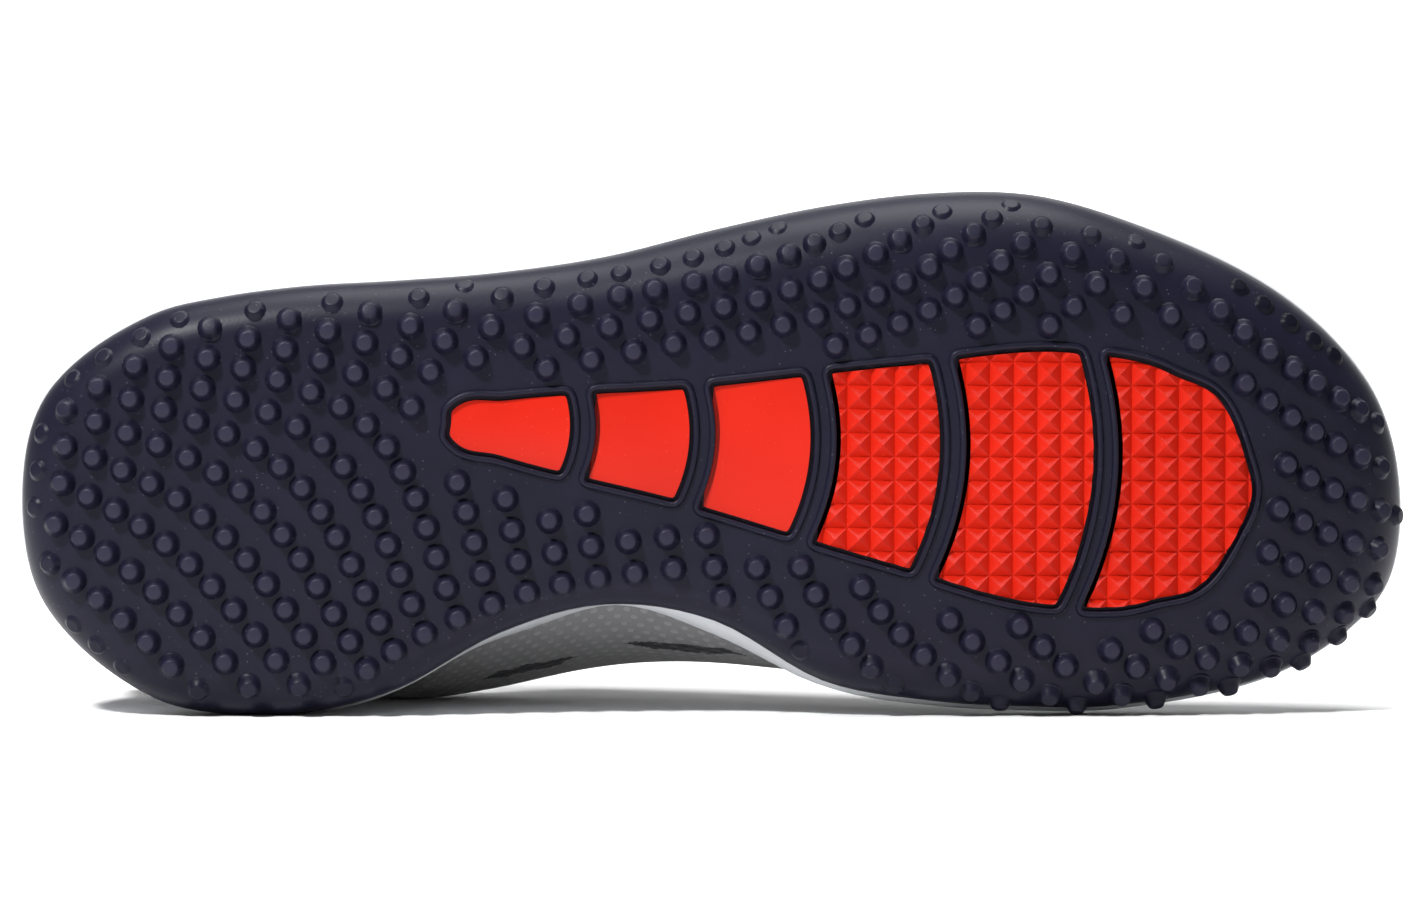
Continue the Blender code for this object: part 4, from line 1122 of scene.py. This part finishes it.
def hexagon_mesh():
    """Hexagonal cells of a knitted mesh over a map in metres: a hole mask and a height."""
    tree, given, wanted = effect(
        "hexagon_mesh",
        [("Vector", "Vector"), ("Pitch", "Float"), ("Yarn", "Float")],
        [("Holes", "Float"), ("Height", "Float")],
    )
    tall = math.sqrt(3)
    cell = add(tree, "ShaderNodeVectorMath", {
        0: given.outputs["Vector"], 3: given.outputs["Pitch"],
    }, operation="SCALE")
    flat = add(tree, "ShaderNodeVectorMath", {0: cell.outputs[0], 1: (1, 1 / tall, 0)},
               operation="MULTIPLY")
    nearest = []
    for shift in (0.0, 0.5):
        moved = add(tree, "ShaderNodeVectorMath", {0: flat.outputs[0], 1: (shift, shift, 0)},
                    operation="ADD")
        part = add(tree, "ShaderNodeVectorMath", {0: moved.outputs[0]}, operation="FRACTION")
        centred = add(tree, "ShaderNodeVectorMath", {0: part.outputs[0], 1: (0.5, 0.5, 0)},
                      operation="SUBTRACT")
        true = add(tree, "ShaderNodeVectorMath", {0: centred.outputs[0], 1: (1, tall, 0)},
                   operation="MULTIPLY")
        nearest.append(add(tree, "ShaderNodeVectorMath", {0: true.outputs[0]},
                           operation="LENGTH"))
    distance = add(tree, "ShaderNodeMath", {
        0: nearest[0].outputs["Value"], 1: nearest[1].outputs["Value"],
    }, operation="MINIMUM")
    holes = add(tree, "ShaderNodeMapRange", {
        "Value": distance.outputs[0], "From Min": 0.30, "From Max": 0.20,
    }, interpolation_type="SMOOTHSTEP")
    yarn = add(tree, "ShaderNodeTexNoise", {
        "Vector": given.outputs["Vector"], "Scale": given.outputs["Yarn"], "Detail": 2.0,
    })
    fuzz = add(tree, "ShaderNodeMath", {0: yarn.outputs["Fac"], 1: 0.35}, operation="MULTIPLY")
    height = add(tree, "ShaderNodeMath", {
        0: fuzz.outputs[0], 1: holes.outputs["Result"],
    }, operation="SUBTRACT")
    tree.links.new(holes.outputs["Result"], wanted.inputs["Holes"])
    tree.links.new(height.outputs[0], wanted.inputs["Height"])
    return tree


def plain_weave():
    """Crossing threads over a map in metres: a tone and a height."""
    tree, given, wanted = effect(
        "plain_weave",
        [("Vector", "Vector"), ("Threads", "Float")],
        [("Tone", "Float"), ("Height", "Float")],
    )
    cell = add(tree, "ShaderNodeVectorMath", {
        0: given.outputs["Vector"], 3: given.outputs["Threads"],
    }, operation="SCALE")
    axes = add(tree, "ShaderNodeSeparateXYZ", {"Vector": cell.outputs[0]})
    waves = []
    for axis in ("X", "Y"):
        turn = add(tree, "ShaderNodeMath", {0: axes.outputs[axis], 1: math.pi},
                   operation="MULTIPLY")
        waves.append(add(tree, "ShaderNodeMath", {0: turn.outputs[0]}, operation="SINE"))
    weave = add(tree, "ShaderNodeMath", {0: waves[0].outputs[0], 1: waves[1].outputs[0]},
                operation="MULTIPLY")
    height = add(tree, "ShaderNodeMath", {0: weave.outputs[0], 1: 0.5}, operation="ADD")
    cloud = add(tree, "ShaderNodeTexNoise", {
        "Vector": given.outputs["Vector"], "Scale": 300.0, "Detail": 3.0,
    })
    tone = add(tree, "ShaderNodeMath", {0: cloud.outputs["Fac"], 1: height.outputs[0]},
               operation="MULTIPLY")
    tree.links.new(tone.outputs[0], wanted.inputs["Tone"])
    tree.links.new(height.outputs[0], wanted.inputs["Height"])
    return tree


HEXAGON_MESH = hexagon_mesh()
PLAIN_WEAVE = plain_weave()


STREAK_WIDTH = 0.0016
STREAKS = [
    # from x, to x, height at the first and at the last, over the floor
    (-0.0200, 0.0075, 0.0140, 0.0118),
    (-0.0520, -0.0300, 0.0052, 0.0105),
]


def mesh_material():
    made, tree, shader = fresh_material("grey_mesh", 0.85, Sheen_Weight=0.15)
    place = add(tree, "ShaderNodeTexCoord")
    knit = add(tree, "ShaderNodeGroup", node_tree=HEXAGON_MESH)
    tree.links.new(place.outputs["UV"], knit.inputs["Vector"])
    knit.inputs["Pitch"].default_value = 1 / 0.0030
    knit.inputs["Yarn"].default_value = 2500.0
    cloth = add(tree, "ShaderNodeMix", {
        0: knit.outputs["Holes"], "A": (0.185, 0.185, 0.19, 1), "B": (0.235, 0.235, 0.24, 1),
    }, data_type="RGBA")
    # Two ragged dark streaks are printed low on the inner side.
    axes = add(tree, "ShaderNodeSeparateXYZ", {"Vector": place.outputs["Object"]})
    long = add(tree, "ShaderNodeVectorMath", {
        0: place.outputs["Object"], 1: (120.0, 0.0, 500.0),
    }, operation="MULTIPLY")
    ragged = add(tree, "ShaderNodeTexNoise", {
        "Vector": long.outputs[0], "Scale": 1.0, "Detail": 6.0, "Roughness": 0.7,
    })
    torn = add(tree, "ShaderNodeMapRange", {
        "Value": ragged.outputs["Fac"], "To Min": -0.0016, "To Max": 0.0016,
    })
    level = add(tree, "ShaderNodeMath", {0: axes.outputs["Z"], 1: torn.outputs["Result"]},
                operation="ADD")
    print_mask = None
    for start, end, first, last in STREAKS:
        line = add(tree, "ShaderNodeMapRange", {
            "Value": axes.outputs["X"], "From Min": start, "From Max": end,
            "To Min": first, "To Max": last,
        })
        middle = (start + end) / 2
        off = add(tree, "ShaderNodeMath", {0: axes.outputs["X"], 1: middle},
                  operation="SUBTRACT")
        reach = add(tree, "ShaderNodeMath", {0: off.outputs[0]}, operation="ABSOLUTE")
        half = add(tree, "ShaderNodeMapRange", {
            "Value": reach.outputs[0], "From Min": (end - start) / 4, "From Max": (end - start) / 2,
            "To Min": STREAK_WIDTH / 2, "To Max": 0.0,
        })
        gap = add(tree, "ShaderNodeMath", {0: level.outputs[0], 1: line.outputs["Result"]},
                  operation="SUBTRACT")
        away = add(tree, "ShaderNodeMath", {0: gap.outputs[0]}, operation="ABSOLUTE")
        inked = add(tree, "ShaderNodeMath", {0: away.outputs[0], 1: half.outputs["Result"]},
                    operation="LESS_THAN")
        if print_mask is None:
            print_mask = inked
        else:
            print_mask = add(tree, "ShaderNodeMath", {
                0: print_mask.outputs[0], 1: inked.outputs[0],
            }, operation="MAXIMUM")
    printed = add(tree, "ShaderNodeMix", {
        0: print_mask.outputs[0], "A": cloth.outputs["Result"], "B": (0.012, 0.012, 0.016, 1),
    }, data_type="RGBA")
    bump = add(tree, "ShaderNodeBump", {
        "Height": knit.outputs["Height"], "Strength": 0.6, "Distance": 0.0003,
    })
    tree.links.new(printed.outputs["Result"], shader.inputs["Base Color"])
    tree.links.new(bump.outputs["Normal"], shader.inputs["Normal"])
    return made


def film_material():
    made, tree, shader = fresh_material("navy_film", 0.42)
    place = add(tree, "ShaderNodeTexCoord")
    grain = add(tree, "ShaderNodeTexVoronoi", {"Vector": place.outputs["Object"], "Scale": 1500.0})
    cloud = add(tree, "ShaderNodeTexNoise", {"Vector": place.outputs["Object"], "Scale": 60.0})
    tone = add(tree, "ShaderNodeMix", {
        0: cloud.outputs["Fac"], "A": (0.018, 0.019, 0.036, 1), "B": (0.034, 0.035, 0.060, 1),
    }, data_type="RGBA")
    bump = add(tree, "ShaderNodeBump", {
        "Height": grain.outputs["Distance"], "Strength": 0.3, "Distance": 0.00012,
    })
    tree.links.new(tone.outputs["Result"], shader.inputs["Base Color"])
    tree.links.new(bump.outputs["Normal"], shader.inputs["Normal"])
    return made


def woven_material(name, dark, light, threads, roughness, depth):
    made, tree, shader = fresh_material(name, roughness, Sheen_Weight=0.2)
    place = add(tree, "ShaderNodeTexCoord")
    weave = add(tree, "ShaderNodeGroup", node_tree=PLAIN_WEAVE)
    tree.links.new(place.outputs["UV"], weave.inputs["Vector"])
    weave.inputs["Threads"].default_value = threads
    tone = add(tree, "ShaderNodeMix", {
        0: weave.outputs["Tone"], "A": (*dark, 1), "B": (*light, 1),
    }, data_type="RGBA")
    bump = add(tree, "ShaderNodeBump", {
        "Height": weave.outputs["Height"], "Strength": 0.7, "Distance": depth,
    })
    tree.links.new(tone.outputs["Result"], shader.inputs["Base Color"])
    tree.links.new(bump.outputs["Normal"], shader.inputs["Normal"])
    return made


GREY_MESH = mesh_material()
NAVY_FILM = film_material()
LINING_CLOTH = woven_material(
    "lining_cloth", (0.012, 0.012, 0.022), (0.050, 0.050, 0.080), 1 / 0.0009, 0.85, 0.00015
)
upper = upper_mesh()
for material in (GREY_MESH, NAVY_FILM, LINING_CLOTH):
    upper.materials.append(material)
lay_piece("upper_shell", upper, "grey_mesh", "upper")


# Stitches: rows of thread that sew the film overlays and the collar's binding to the mesh.

STITCH_PITCH = 0.0030
STITCH_PROFILE = [(-1.05, 0.05), (-0.95, 0.22), (-0.5, 0.30), (0.5, 0.30), (0.95, 0.22), (1.05, 0.05)]
STITCH_ROWS = [
    # from turn, to turn, rise
    (0.475, 1.525, EYESTAY_FROM + 0.028),
    (0.475, 1.525, EYESTAY_FROM + 0.050),
    (0.880, 1.120, 0.350),
    (-0.195, 0.195, 0.565),
    (-0.440, 0.440, 0.900),
]


def stitch_lines():
    mesh = bpy.data.meshes.new("stitch_lines")
    points, edges = [], []
    for first, last, rise in STITCH_ROWS:
        turns = np.linspace(first, last, 240)
        row = skin_point(turns, np.full(240, rise), 0.00005)
        edges += [(len(points) + i, len(points) + i + 1) for i in range(239)]
        points += [tuple(p) for p in row]
    mesh.from_pydata(points, edges, [])
    return mesh


def stitch_tree():
    """Geometry nodes that set a short thread at even steps along each line."""
    tree = bpy.data.node_groups.new("stitching", "GeometryNodeTree")
    for label, kind in (
        ("Geometry", "Geometry"), ("Thread", "Object"), ("Pitch", "Float"), ("Finish", "Material"),
    ):
        tree.interface.new_socket(label, in_out="INPUT", socket_type=f"NodeSocket{kind}")
    tree.interface.new_socket("Geometry", in_out="OUTPUT", socket_type="NodeSocketGeometry")
    given, wanted = add(tree, "NodeGroupInput"), add(tree, "NodeGroupOutput")
    line = add(tree, "GeometryNodeMeshToCurve", {"Mesh": given.outputs["Geometry"]})
    steps = add(tree, "GeometryNodeCurveToPoints", {
        "Curve": line.outputs["Curve"], "Length": given.outputs["Pitch"],
    }, mode="LENGTH")
    thread = add(tree, "GeometryNodeObjectInfo", {"Object": given.outputs["Thread"]})
    sewn = add(tree, "GeometryNodeInstanceOnPoints", {
        "Points": steps.outputs["Points"], "Instance": thread.outputs["Geometry"],
        "Rotation": steps.outputs["Rotation"],
    })
    real = add(tree, "GeometryNodeRealizeInstances", {"Geometry": sewn.outputs["Instances"]})
    finish = add(tree, "GeometryNodeSetMaterial", {
        "Geometry": real.outputs["Geometry"], "Material": given.outputs["Finish"],
    })
    tree.links.new(finish.outputs["Geometry"], wanted.inputs["Geometry"])
    return tree


def thread_material():
    made, tree, shader = fresh_material("thread", 0.7)
    place = add(tree, "ShaderNodeTexCoord")
    twist = add(tree, "ShaderNodeTexNoise", {"Vector": place.outputs["Object"], "Scale": 3000.0})
    tone = add(tree, "ShaderNodeMix", {
        0: twist.outputs["Fac"], "A": (0.22, 0.22, 0.25, 1), "B": (0.42, 0.42, 0.45, 1),
    }, data_type="RGBA")
    tree.links.new(tone.outputs["Result"], shader.inputs["Base Color"])
    return made


thread = helper("thread_blank", turned_mesh("thread_blank", STITCH_PROFILE, 6))
stitches = run_tree("stitches", stitch_lines(), stitch_tree(),
                    {"Thread": thread, "Pitch": STITCH_PITCH, "Finish": thread_material()})
bpy.data.objects.remove(thread)
lay_piece("stitches", stitches, "lace_cloth")


# Eyelets: small rings of dark plastic, five pairs, pressed through the eyestay.

EYELET_PAIRS = 5
EYELET_FROM = 0.535
EYELET_TO = 0.790
EYELET_INSET = 0.0080
EYELET_PROFILE = [
    # height over the film and radius, in millimetres
    (-0.6, 3.20),
    (0.15, 3.20),
    (0.42, 2.95),
    (0.50, 2.60),
    (0.42, 2.25),
    (0.10, 2.05),
    (-0.3, 2.00),
]


def eyelet(pair, inner):
    """Turn and rise of an eyelet: pair 0 is nearest the toe."""
    around = EYELET_TO + (EYELET_FROM - EYELET_TO) * pair / (EYELET_PAIRS - 1)
    turn = around if inner else MIRROR_TURN - around
    rises = np.linspace(0.6, 1.0, 41)
    wall = last_point(np.full(41, turn), rises)
    left = np.cumsum(np.linalg.norm(np.diff(wall[::-1], axis=0), axis=1))
    return turn, 1.0 - np.interp(EYELET_INSET, left, np.arange(1, 41) * 0.01)


def eyelet_places():
    places = []
    for pair in range(EYELET_PAIRS):
        for inner in (True, False):
            turn, rise = eyelet(pair, inner)
            turns, rises = np.array([turn]), np.array([rise])
            normal, _ = last_frame(turns, rises)
            places.append((skin_point(turns, rises)[0], normal[0], 1.0))
    return places


def plastic_material():
    made, tree, shader = fresh_material("eyelet_plastic", 0.35)
    place = add(tree, "ShaderNodeTexCoord")
    scuff = add(tree, "ShaderNodeTexNoise", {"Vector": place.outputs["Object"], "Scale": 900.0})
    tone = add(tree, "ShaderNodeMix", {
        0: scuff.outputs["Fac"], "A": (0.010, 0.010, 0.016, 1), "B": (0.035, 0.035, 0.05, 1),
    }, data_type="RGBA")
    tree.links.new(tone.outputs["Result"], shader.inputs["Base Color"])
    return made


ring = helper("eyelet_blank", turned_mesh("eyelet_blank", EYELET_PROFILE, 20))
eyelets = run_tree("eyelets", point_cloud("eyelet_points", eyelet_places()), SET_OUT,
                   {"Piece": ring, "Height": 1.0, "Finish": plastic_material()})
bpy.data.objects.remove(ring)
lay_piece("eyelets", eyelets, "navy_rubber")


# Insole: a footbed of foam faced with dark brushed cloth, lying loose inside the upper.

INSOLE = 0.0045
INSOLE_CLEAR = 0.0008


def lining_outline(height, clear):
    """The lining's outline at a height above the bed, drawn in by a clearance."""
    rise = rise_at(TURNS, bed_height(FOOT_X) + height)
    normal, _ = last_frame(TURNS, rise)
    flat = normal[:, :2]
    plan = flat / (flat**2).sum(axis=1, keepdims=True) * (WALL + clear)
    points = last_point(TURNS, rise)
    points[:, :2] -= plan
    points[:, 2] = bed_height(points[:, 0]) + height
    return points


def insole_mesh():
    rings = [
        lining_outline(GAP, INSOLE_CLEAR),
        lining_outline(GAP + INSOLE * 0.75, INSOLE_CLEAR),
        lining_outline(GAP + INSOLE * 0.94, INSOLE_CLEAR + 0.0004),
        lining_outline(GAP + INSOLE, INSOLE_CLEAR + 0.0016),
    ]
    return ring_mesh("insole", rings)


insole = insole_mesh()
insole.materials.append(LINING_CLOTH)
lay_piece("insole_bed", insole, "lining_cloth", "insole")


# Tongue: a padded strip of the same mesh, sewn under the vamp and lying under the laces.

TONGUE = 0.0050
TONGUE_FREE = 0.040
TONGUE_ANGLE = 36
TONGUE_TUCK = 0.015
TONGUE_EDGE = 0.84
TONGUE_NARROW = 0.14
TONGUE_CLEAR = 0.0012
TONGUE_TAPER = 0.34


def throat_chain(around, depth):
    """Points from under the inner eyestay, over the throat, to under the outer one."""
    edge = TONGUE_EDGE + TONGUE_NARROW * ease((0.70 - around) / 0.14)
    rises = np.array([edge, (edge + 1) / 2, 1.0, 1.0, (edge + 1) / 2, edge])
    turns = np.array([around] * 3 + [MIRROR_TURN - around] * 3)
    points = lining_point(turns, rises, depth)
    _, upward = last_frame(turns, rises)
    start, end = points[2], points[3]
    span = np.linalg.norm(end - start)
    first = start + upward[2] * span * 0.22
    second = end + upward[3] * span * 0.22
    crown = [
        (start * 8 + first * 12 + second * 6 + end) / 27,
        (start + first * 6 + second * 12 + end * 8) / 27,
    ]
    return np.array([*points[:3], *crown, *points[3:]])


def tongue_mesh():
    stations = [throat_chain(a, TONGUE_CLEAR) for a in np.linspace(0.84, 0.56, 7)]
    step = TONGUE_TUCK / 2
    front = stations[0]
    for number in (1, 2):
        ahead = front + np.array([step * number, 0, -step * number * 0.55])
        ahead[:, 1] = front[:, 1].mean() + (front[:, 1] - front[:, 1].mean()) * 0.92**number
        stations.insert(0, ahead)
    angle = math.radians(TONGUE_ANGLE)
    lift = np.array([-math.cos(angle), 0, math.sin(angle)]) * TONGUE_FREE
    back = stations[-1]
    for share in (0.3, 0.65, 1.0):
        higher = back + lift * share
        taper = 1 - TONGUE_TAPER * share
        higher[:, 1] = back[:, 1].mean() + (back[:, 1] - back[:, 1].mean()) * taper
        stations.append(higher)
    stations = np.array(stations)
    onward = np.gradient(stations, axis=0)
    sideways = np.gradient(stations, axis=1)
    down = unit(np.cross(onward, sideways))
    down *= -np.sign(down[..., 2:3])
    count = len(stations)
    thick = TONGUE * ease(np.linspace(0.25, 2.0, count))[:, None, None] + 0.0008
    work = bmesh.new()
    layer = work.loops.layers.uv.new("UVMap")
    top = [[work.verts.new(p) for p in row] for row in stations]
    under = [[work.verts.new(p) for p in row] for row in stations + down * thick]
    places = {}
    for surface in (top, under):
        for r, row in enumerate(surface):
            for c, vert in enumerate(row):
                places[vert] = (c * 0.009, r * 0.011)
    for surface in (top, under):
        for row, following in zip(surface, surface[1:]):
            for i in range(len(row) - 1):
                work.faces.new((row[i], row[i + 1], following[i + 1], following[i]))
    for first, second in zip(range(count - 1), range(1, count)):
        for i in (0, -1):
            work.faces.new((top[first][i], top[second][i], under[second][i], under[first][i]))
    for end in (0, -1):
        for i in range(len(top[end]) - 1):
            work.faces.new((top[end][i], top[end][i + 1], under[end][i + 1], under[end][i]))
    bmesh.ops.recalc_face_normals(work, faces=work.faces)
    for face in work.faces:
        face.smooth = True
        for loop in face.loops:
            loop[layer].uv = places[loop.vert]
    mesh = bpy.data.meshes.new("tongue")
    work.to_mesh(mesh)
    work.free()
    mesh.materials.append(GREY_MESH)
    obj = helper("tongue_cage", mesh)
    smooth = obj.modifiers.new("smooth", "SUBSURF")
    smooth.levels = smooth.render_levels = 3
    bpy.context.view_layer.update()
    return made_mesh(obj)


tongue = lay_piece("tongue_pad", tongue_mesh(), "grey_mesh", "tongue")


# Laces: one flat woven lace. A bar at the toe end, then a cross between each two pairs of
# eyelets, each stretch running down through its ring.

LACE_WIDTH = 0.0065
LACE_THICK = 0.0016
LACE_CLEAR = 0.0005
LACE_CROWN = 0.05
LACE_SAMPLES = 28
LACE_COLOURS = ((0.30, 0.31, 0.32), (0.60, 0.61, 0.62))


def lace_path(start_eyelet, end_eyelet, over):
    """Centre line and upward direction of a stretch of lace from one ring to another."""
    height = LACE_CLEAR + LACE_THICK / 2
    points, normals = [], []
    for turn, rise in (start_eyelet, end_eyelet):
        turns = np.full(4, turn)
        rises = np.array([rise, rise + (1 - rise) * 0.12, (rise + 1) / 2, 1.0])
        clear = np.array([-0.0012, height + 0.0001, height + 0.0002, height])
        points.append(skin_point(turns, rises, clear))
        normals.append(last_frame(turns, rises)[0])
    span = np.linalg.norm(points[0][3] - points[1][3])
    upright = unit(normals[0][3] + normals[1][3])
    middle = (points[0][3] + points[1][3]) / 2 + upright * (LACE_CROWN * span + over)
    path = np.array([*points[0], middle, *points[1][::-1]])
    faces = np.array([*normals[0], upright, *normals[1][::-1]])
    lengths = np.concatenate([[0], np.cumsum(np.linalg.norm(np.diff(path, axis=0), axis=1))])
    dense = np.linspace(0, lengths[-1], LACE_SAMPLES)
    smooth = np.stack([np.interp(dense, lengths, path[:, k]) for k in range(3)], axis=-1)
    facing = np.stack([np.interp(dense, lengths, faces[:, k]) for k in range(3)], axis=-1)
    for _ in range(3):
        smooth[1:-1] = smooth[1:-1] / 2 + (smooth[:-2] + smooth[2:]) / 4
    return smooth, unit(facing), dense


def lace_section():
    """The lace's section: flat with round edges, as shares of its half width and thickness."""
    angles = np.arange(14) / 14 * 2 * np.pi
    return [(np.sign(math.cos(a)) * abs(math.cos(a)) ** 0.5, math.sin(a)) for a in angles]


def lace_mesh():
    work = bmesh.new()
    layer = work.loops.layers.uv.new("UVMap")
    section = lace_section()
    stretches = [(eyelet(0, True), eyelet(0, False), 0.0)]
    for pair in range(EYELET_PAIRS - 1):
        stretches.append((eyelet(pair, False), eyelet(pair + 1, True), 0.0))
        stretches.append((eyelet(pair, True), eyelet(pair + 1, False), LACE_THICK))
    for start, end, over in stretches:
        path, facing, lengths = lace_path(start, end, over)
        tangent = unit(np.gradient(path, axis=0))
        across = unit(np.cross(tangent, facing))
        upright = np.cross(across, tangent)
        pinch = 0.55 + 0.45 * ease(np.minimum(lengths, lengths[-1] - lengths) / 0.004)
        rings = []
        for i, place in enumerate(path):
            rings.append([
                work.verts.new(
                    place + across[i] * a * LACE_WIDTH / 2 * pinch[i]
                    + upright[i] * b * LACE_THICK / 2
                )
                for a, b in section
            ])
        count = len(section)
        for r in range(len(rings) - 1):
            for i in range(count):
                j = (i + 1) % count
                face = work.faces.new((rings[r][i], rings[r][j], rings[r + 1][j], rings[r + 1][i]))
                corners = ((i, r), (i + 1, r), (i + 1, r + 1), (i, r + 1))
                for loop, (k, row) in zip(face.loops, corners):
                    loop[layer].uv = (k / count * 2 * LACE_WIDTH, lengths[row])
        work.faces.new(rings[0])
        work.faces.new(rings[-1])
    bmesh.ops.recalc_face_normals(work, faces=work.faces)
    for face in work.faces:
        face.smooth = True
    mesh = bpy.data.meshes.new("laces")
    work.to_mesh(mesh)
    work.free()
    mesh.materials.append(
        woven_material("lace_cloth", *LACE_COLOURS, 1 / 0.0007, 0.8, 0.0002)
    )
    return mesh


lay_piece("lace_run", lace_mesh(), "lace_cloth", "laces")


# Floor, light and camera: a pale studio sweep, a large soft light overhead and one in front, and
# the camera nearly level with the middle of the sole.

IMAGE_WIDTH = 1425
IMAGE_HEIGHT = 912
PHOTO_SCALE = 4672.0
CAMERA_DISTANCE = 1.30
CAMERA_TILT = 1.8
AIM = Vector((-0.0002, -0.0569, 0.0564))


def studio_sweep():
    """A floor that curves up into a backdrop far behind the shoe."""
    profile = [(-5.0, 0.0), (3.5, 0.0)]
    profile += [
        (3.5 + 1.5 * math.sin(a), 1.5 - 1.5 * math.cos(a))
        for a in np.linspace(0, math.pi / 2, 16)[1:]
    ]
    profile += [(5.0, 5.0)]
    work = bmesh.new()
    sides = [[work.verts.new((x, y, z)) for y, z in profile] for x in (-5.0, 5.0)]
    for i in range(len(profile) - 1):
        work.faces.new((sides[0][i], sides[1][i], sides[1][i + 1], sides[0][i + 1])).smooth = True
    mesh = bpy.data.meshes.new("sweep")
    work.to_mesh(mesh)
    work.free()
    return mesh


sweep_paint, _, sweep_shader = fresh_material("sweep_paint", 0.9)
sweep_shader.inputs["Base Color"].default_value = (0.93, 0.93, 0.93, 1)
sweep = studio_sweep()
sweep.materials.append(sweep_paint)
helper("studio_sweep", sweep)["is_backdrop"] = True

world = bpy.data.worlds.new("studio")
world.use_nodes = True
world.node_tree.nodes["Background"].inputs["Color"].default_value = (1, 1, 1, 1)
world.node_tree.nodes["Background"].inputs["Strength"].default_value = 0.22
bpy.context.scene.world = world


def soft_light(name, place, aim, size, power):
    light = bpy.data.lights.new(name, "AREA")
    light.shape = "DISK"
    light.size = size
    light.energy = power
    lamp = bpy.data.objects.new(name, light)
    lamp.location = place
    lamp.rotation_euler = (Vector(aim) - Vector(place)).to_track_quat("-Z", "Y").to_euler()
    bpy.context.scene.collection.objects.link(lamp)


soft_light("overhead", (0.10, 0.10, 1.6), (0, 0.1, 0.0), 1.3, 33)
soft_light("key", (-0.45, -0.62, 0.80), (0, 0, 0.05), 0.12, 14)
soft_light("backdrop", (0.0, 1.5, 1.9), (0, 4.6, 0.6), 2.0, 240)

camera = bpy.data.objects.new("camera", bpy.data.cameras.new("camera"))
bpy.context.scene.collection.objects.link(camera)
tilt = math.radians(CAMERA_TILT)
camera.location = AIM + CAMERA_DISTANCE * Vector((0, -math.cos(tilt), math.sin(tilt)))
camera.rotation_euler = (AIM - camera.location).to_track_quat("-Z", "Y").to_euler()
camera.data.sensor_width = 36
camera.data.lens = 36 * CAMERA_DISTANCE * PHOTO_SCALE / IMAGE_WIDTH
bpy.context.scene.view_settings.view_transform = "Standard"
bpy.context.scene.camera = camera

str([[list(corner) for corner in box] for box in (cad_box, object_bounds())])
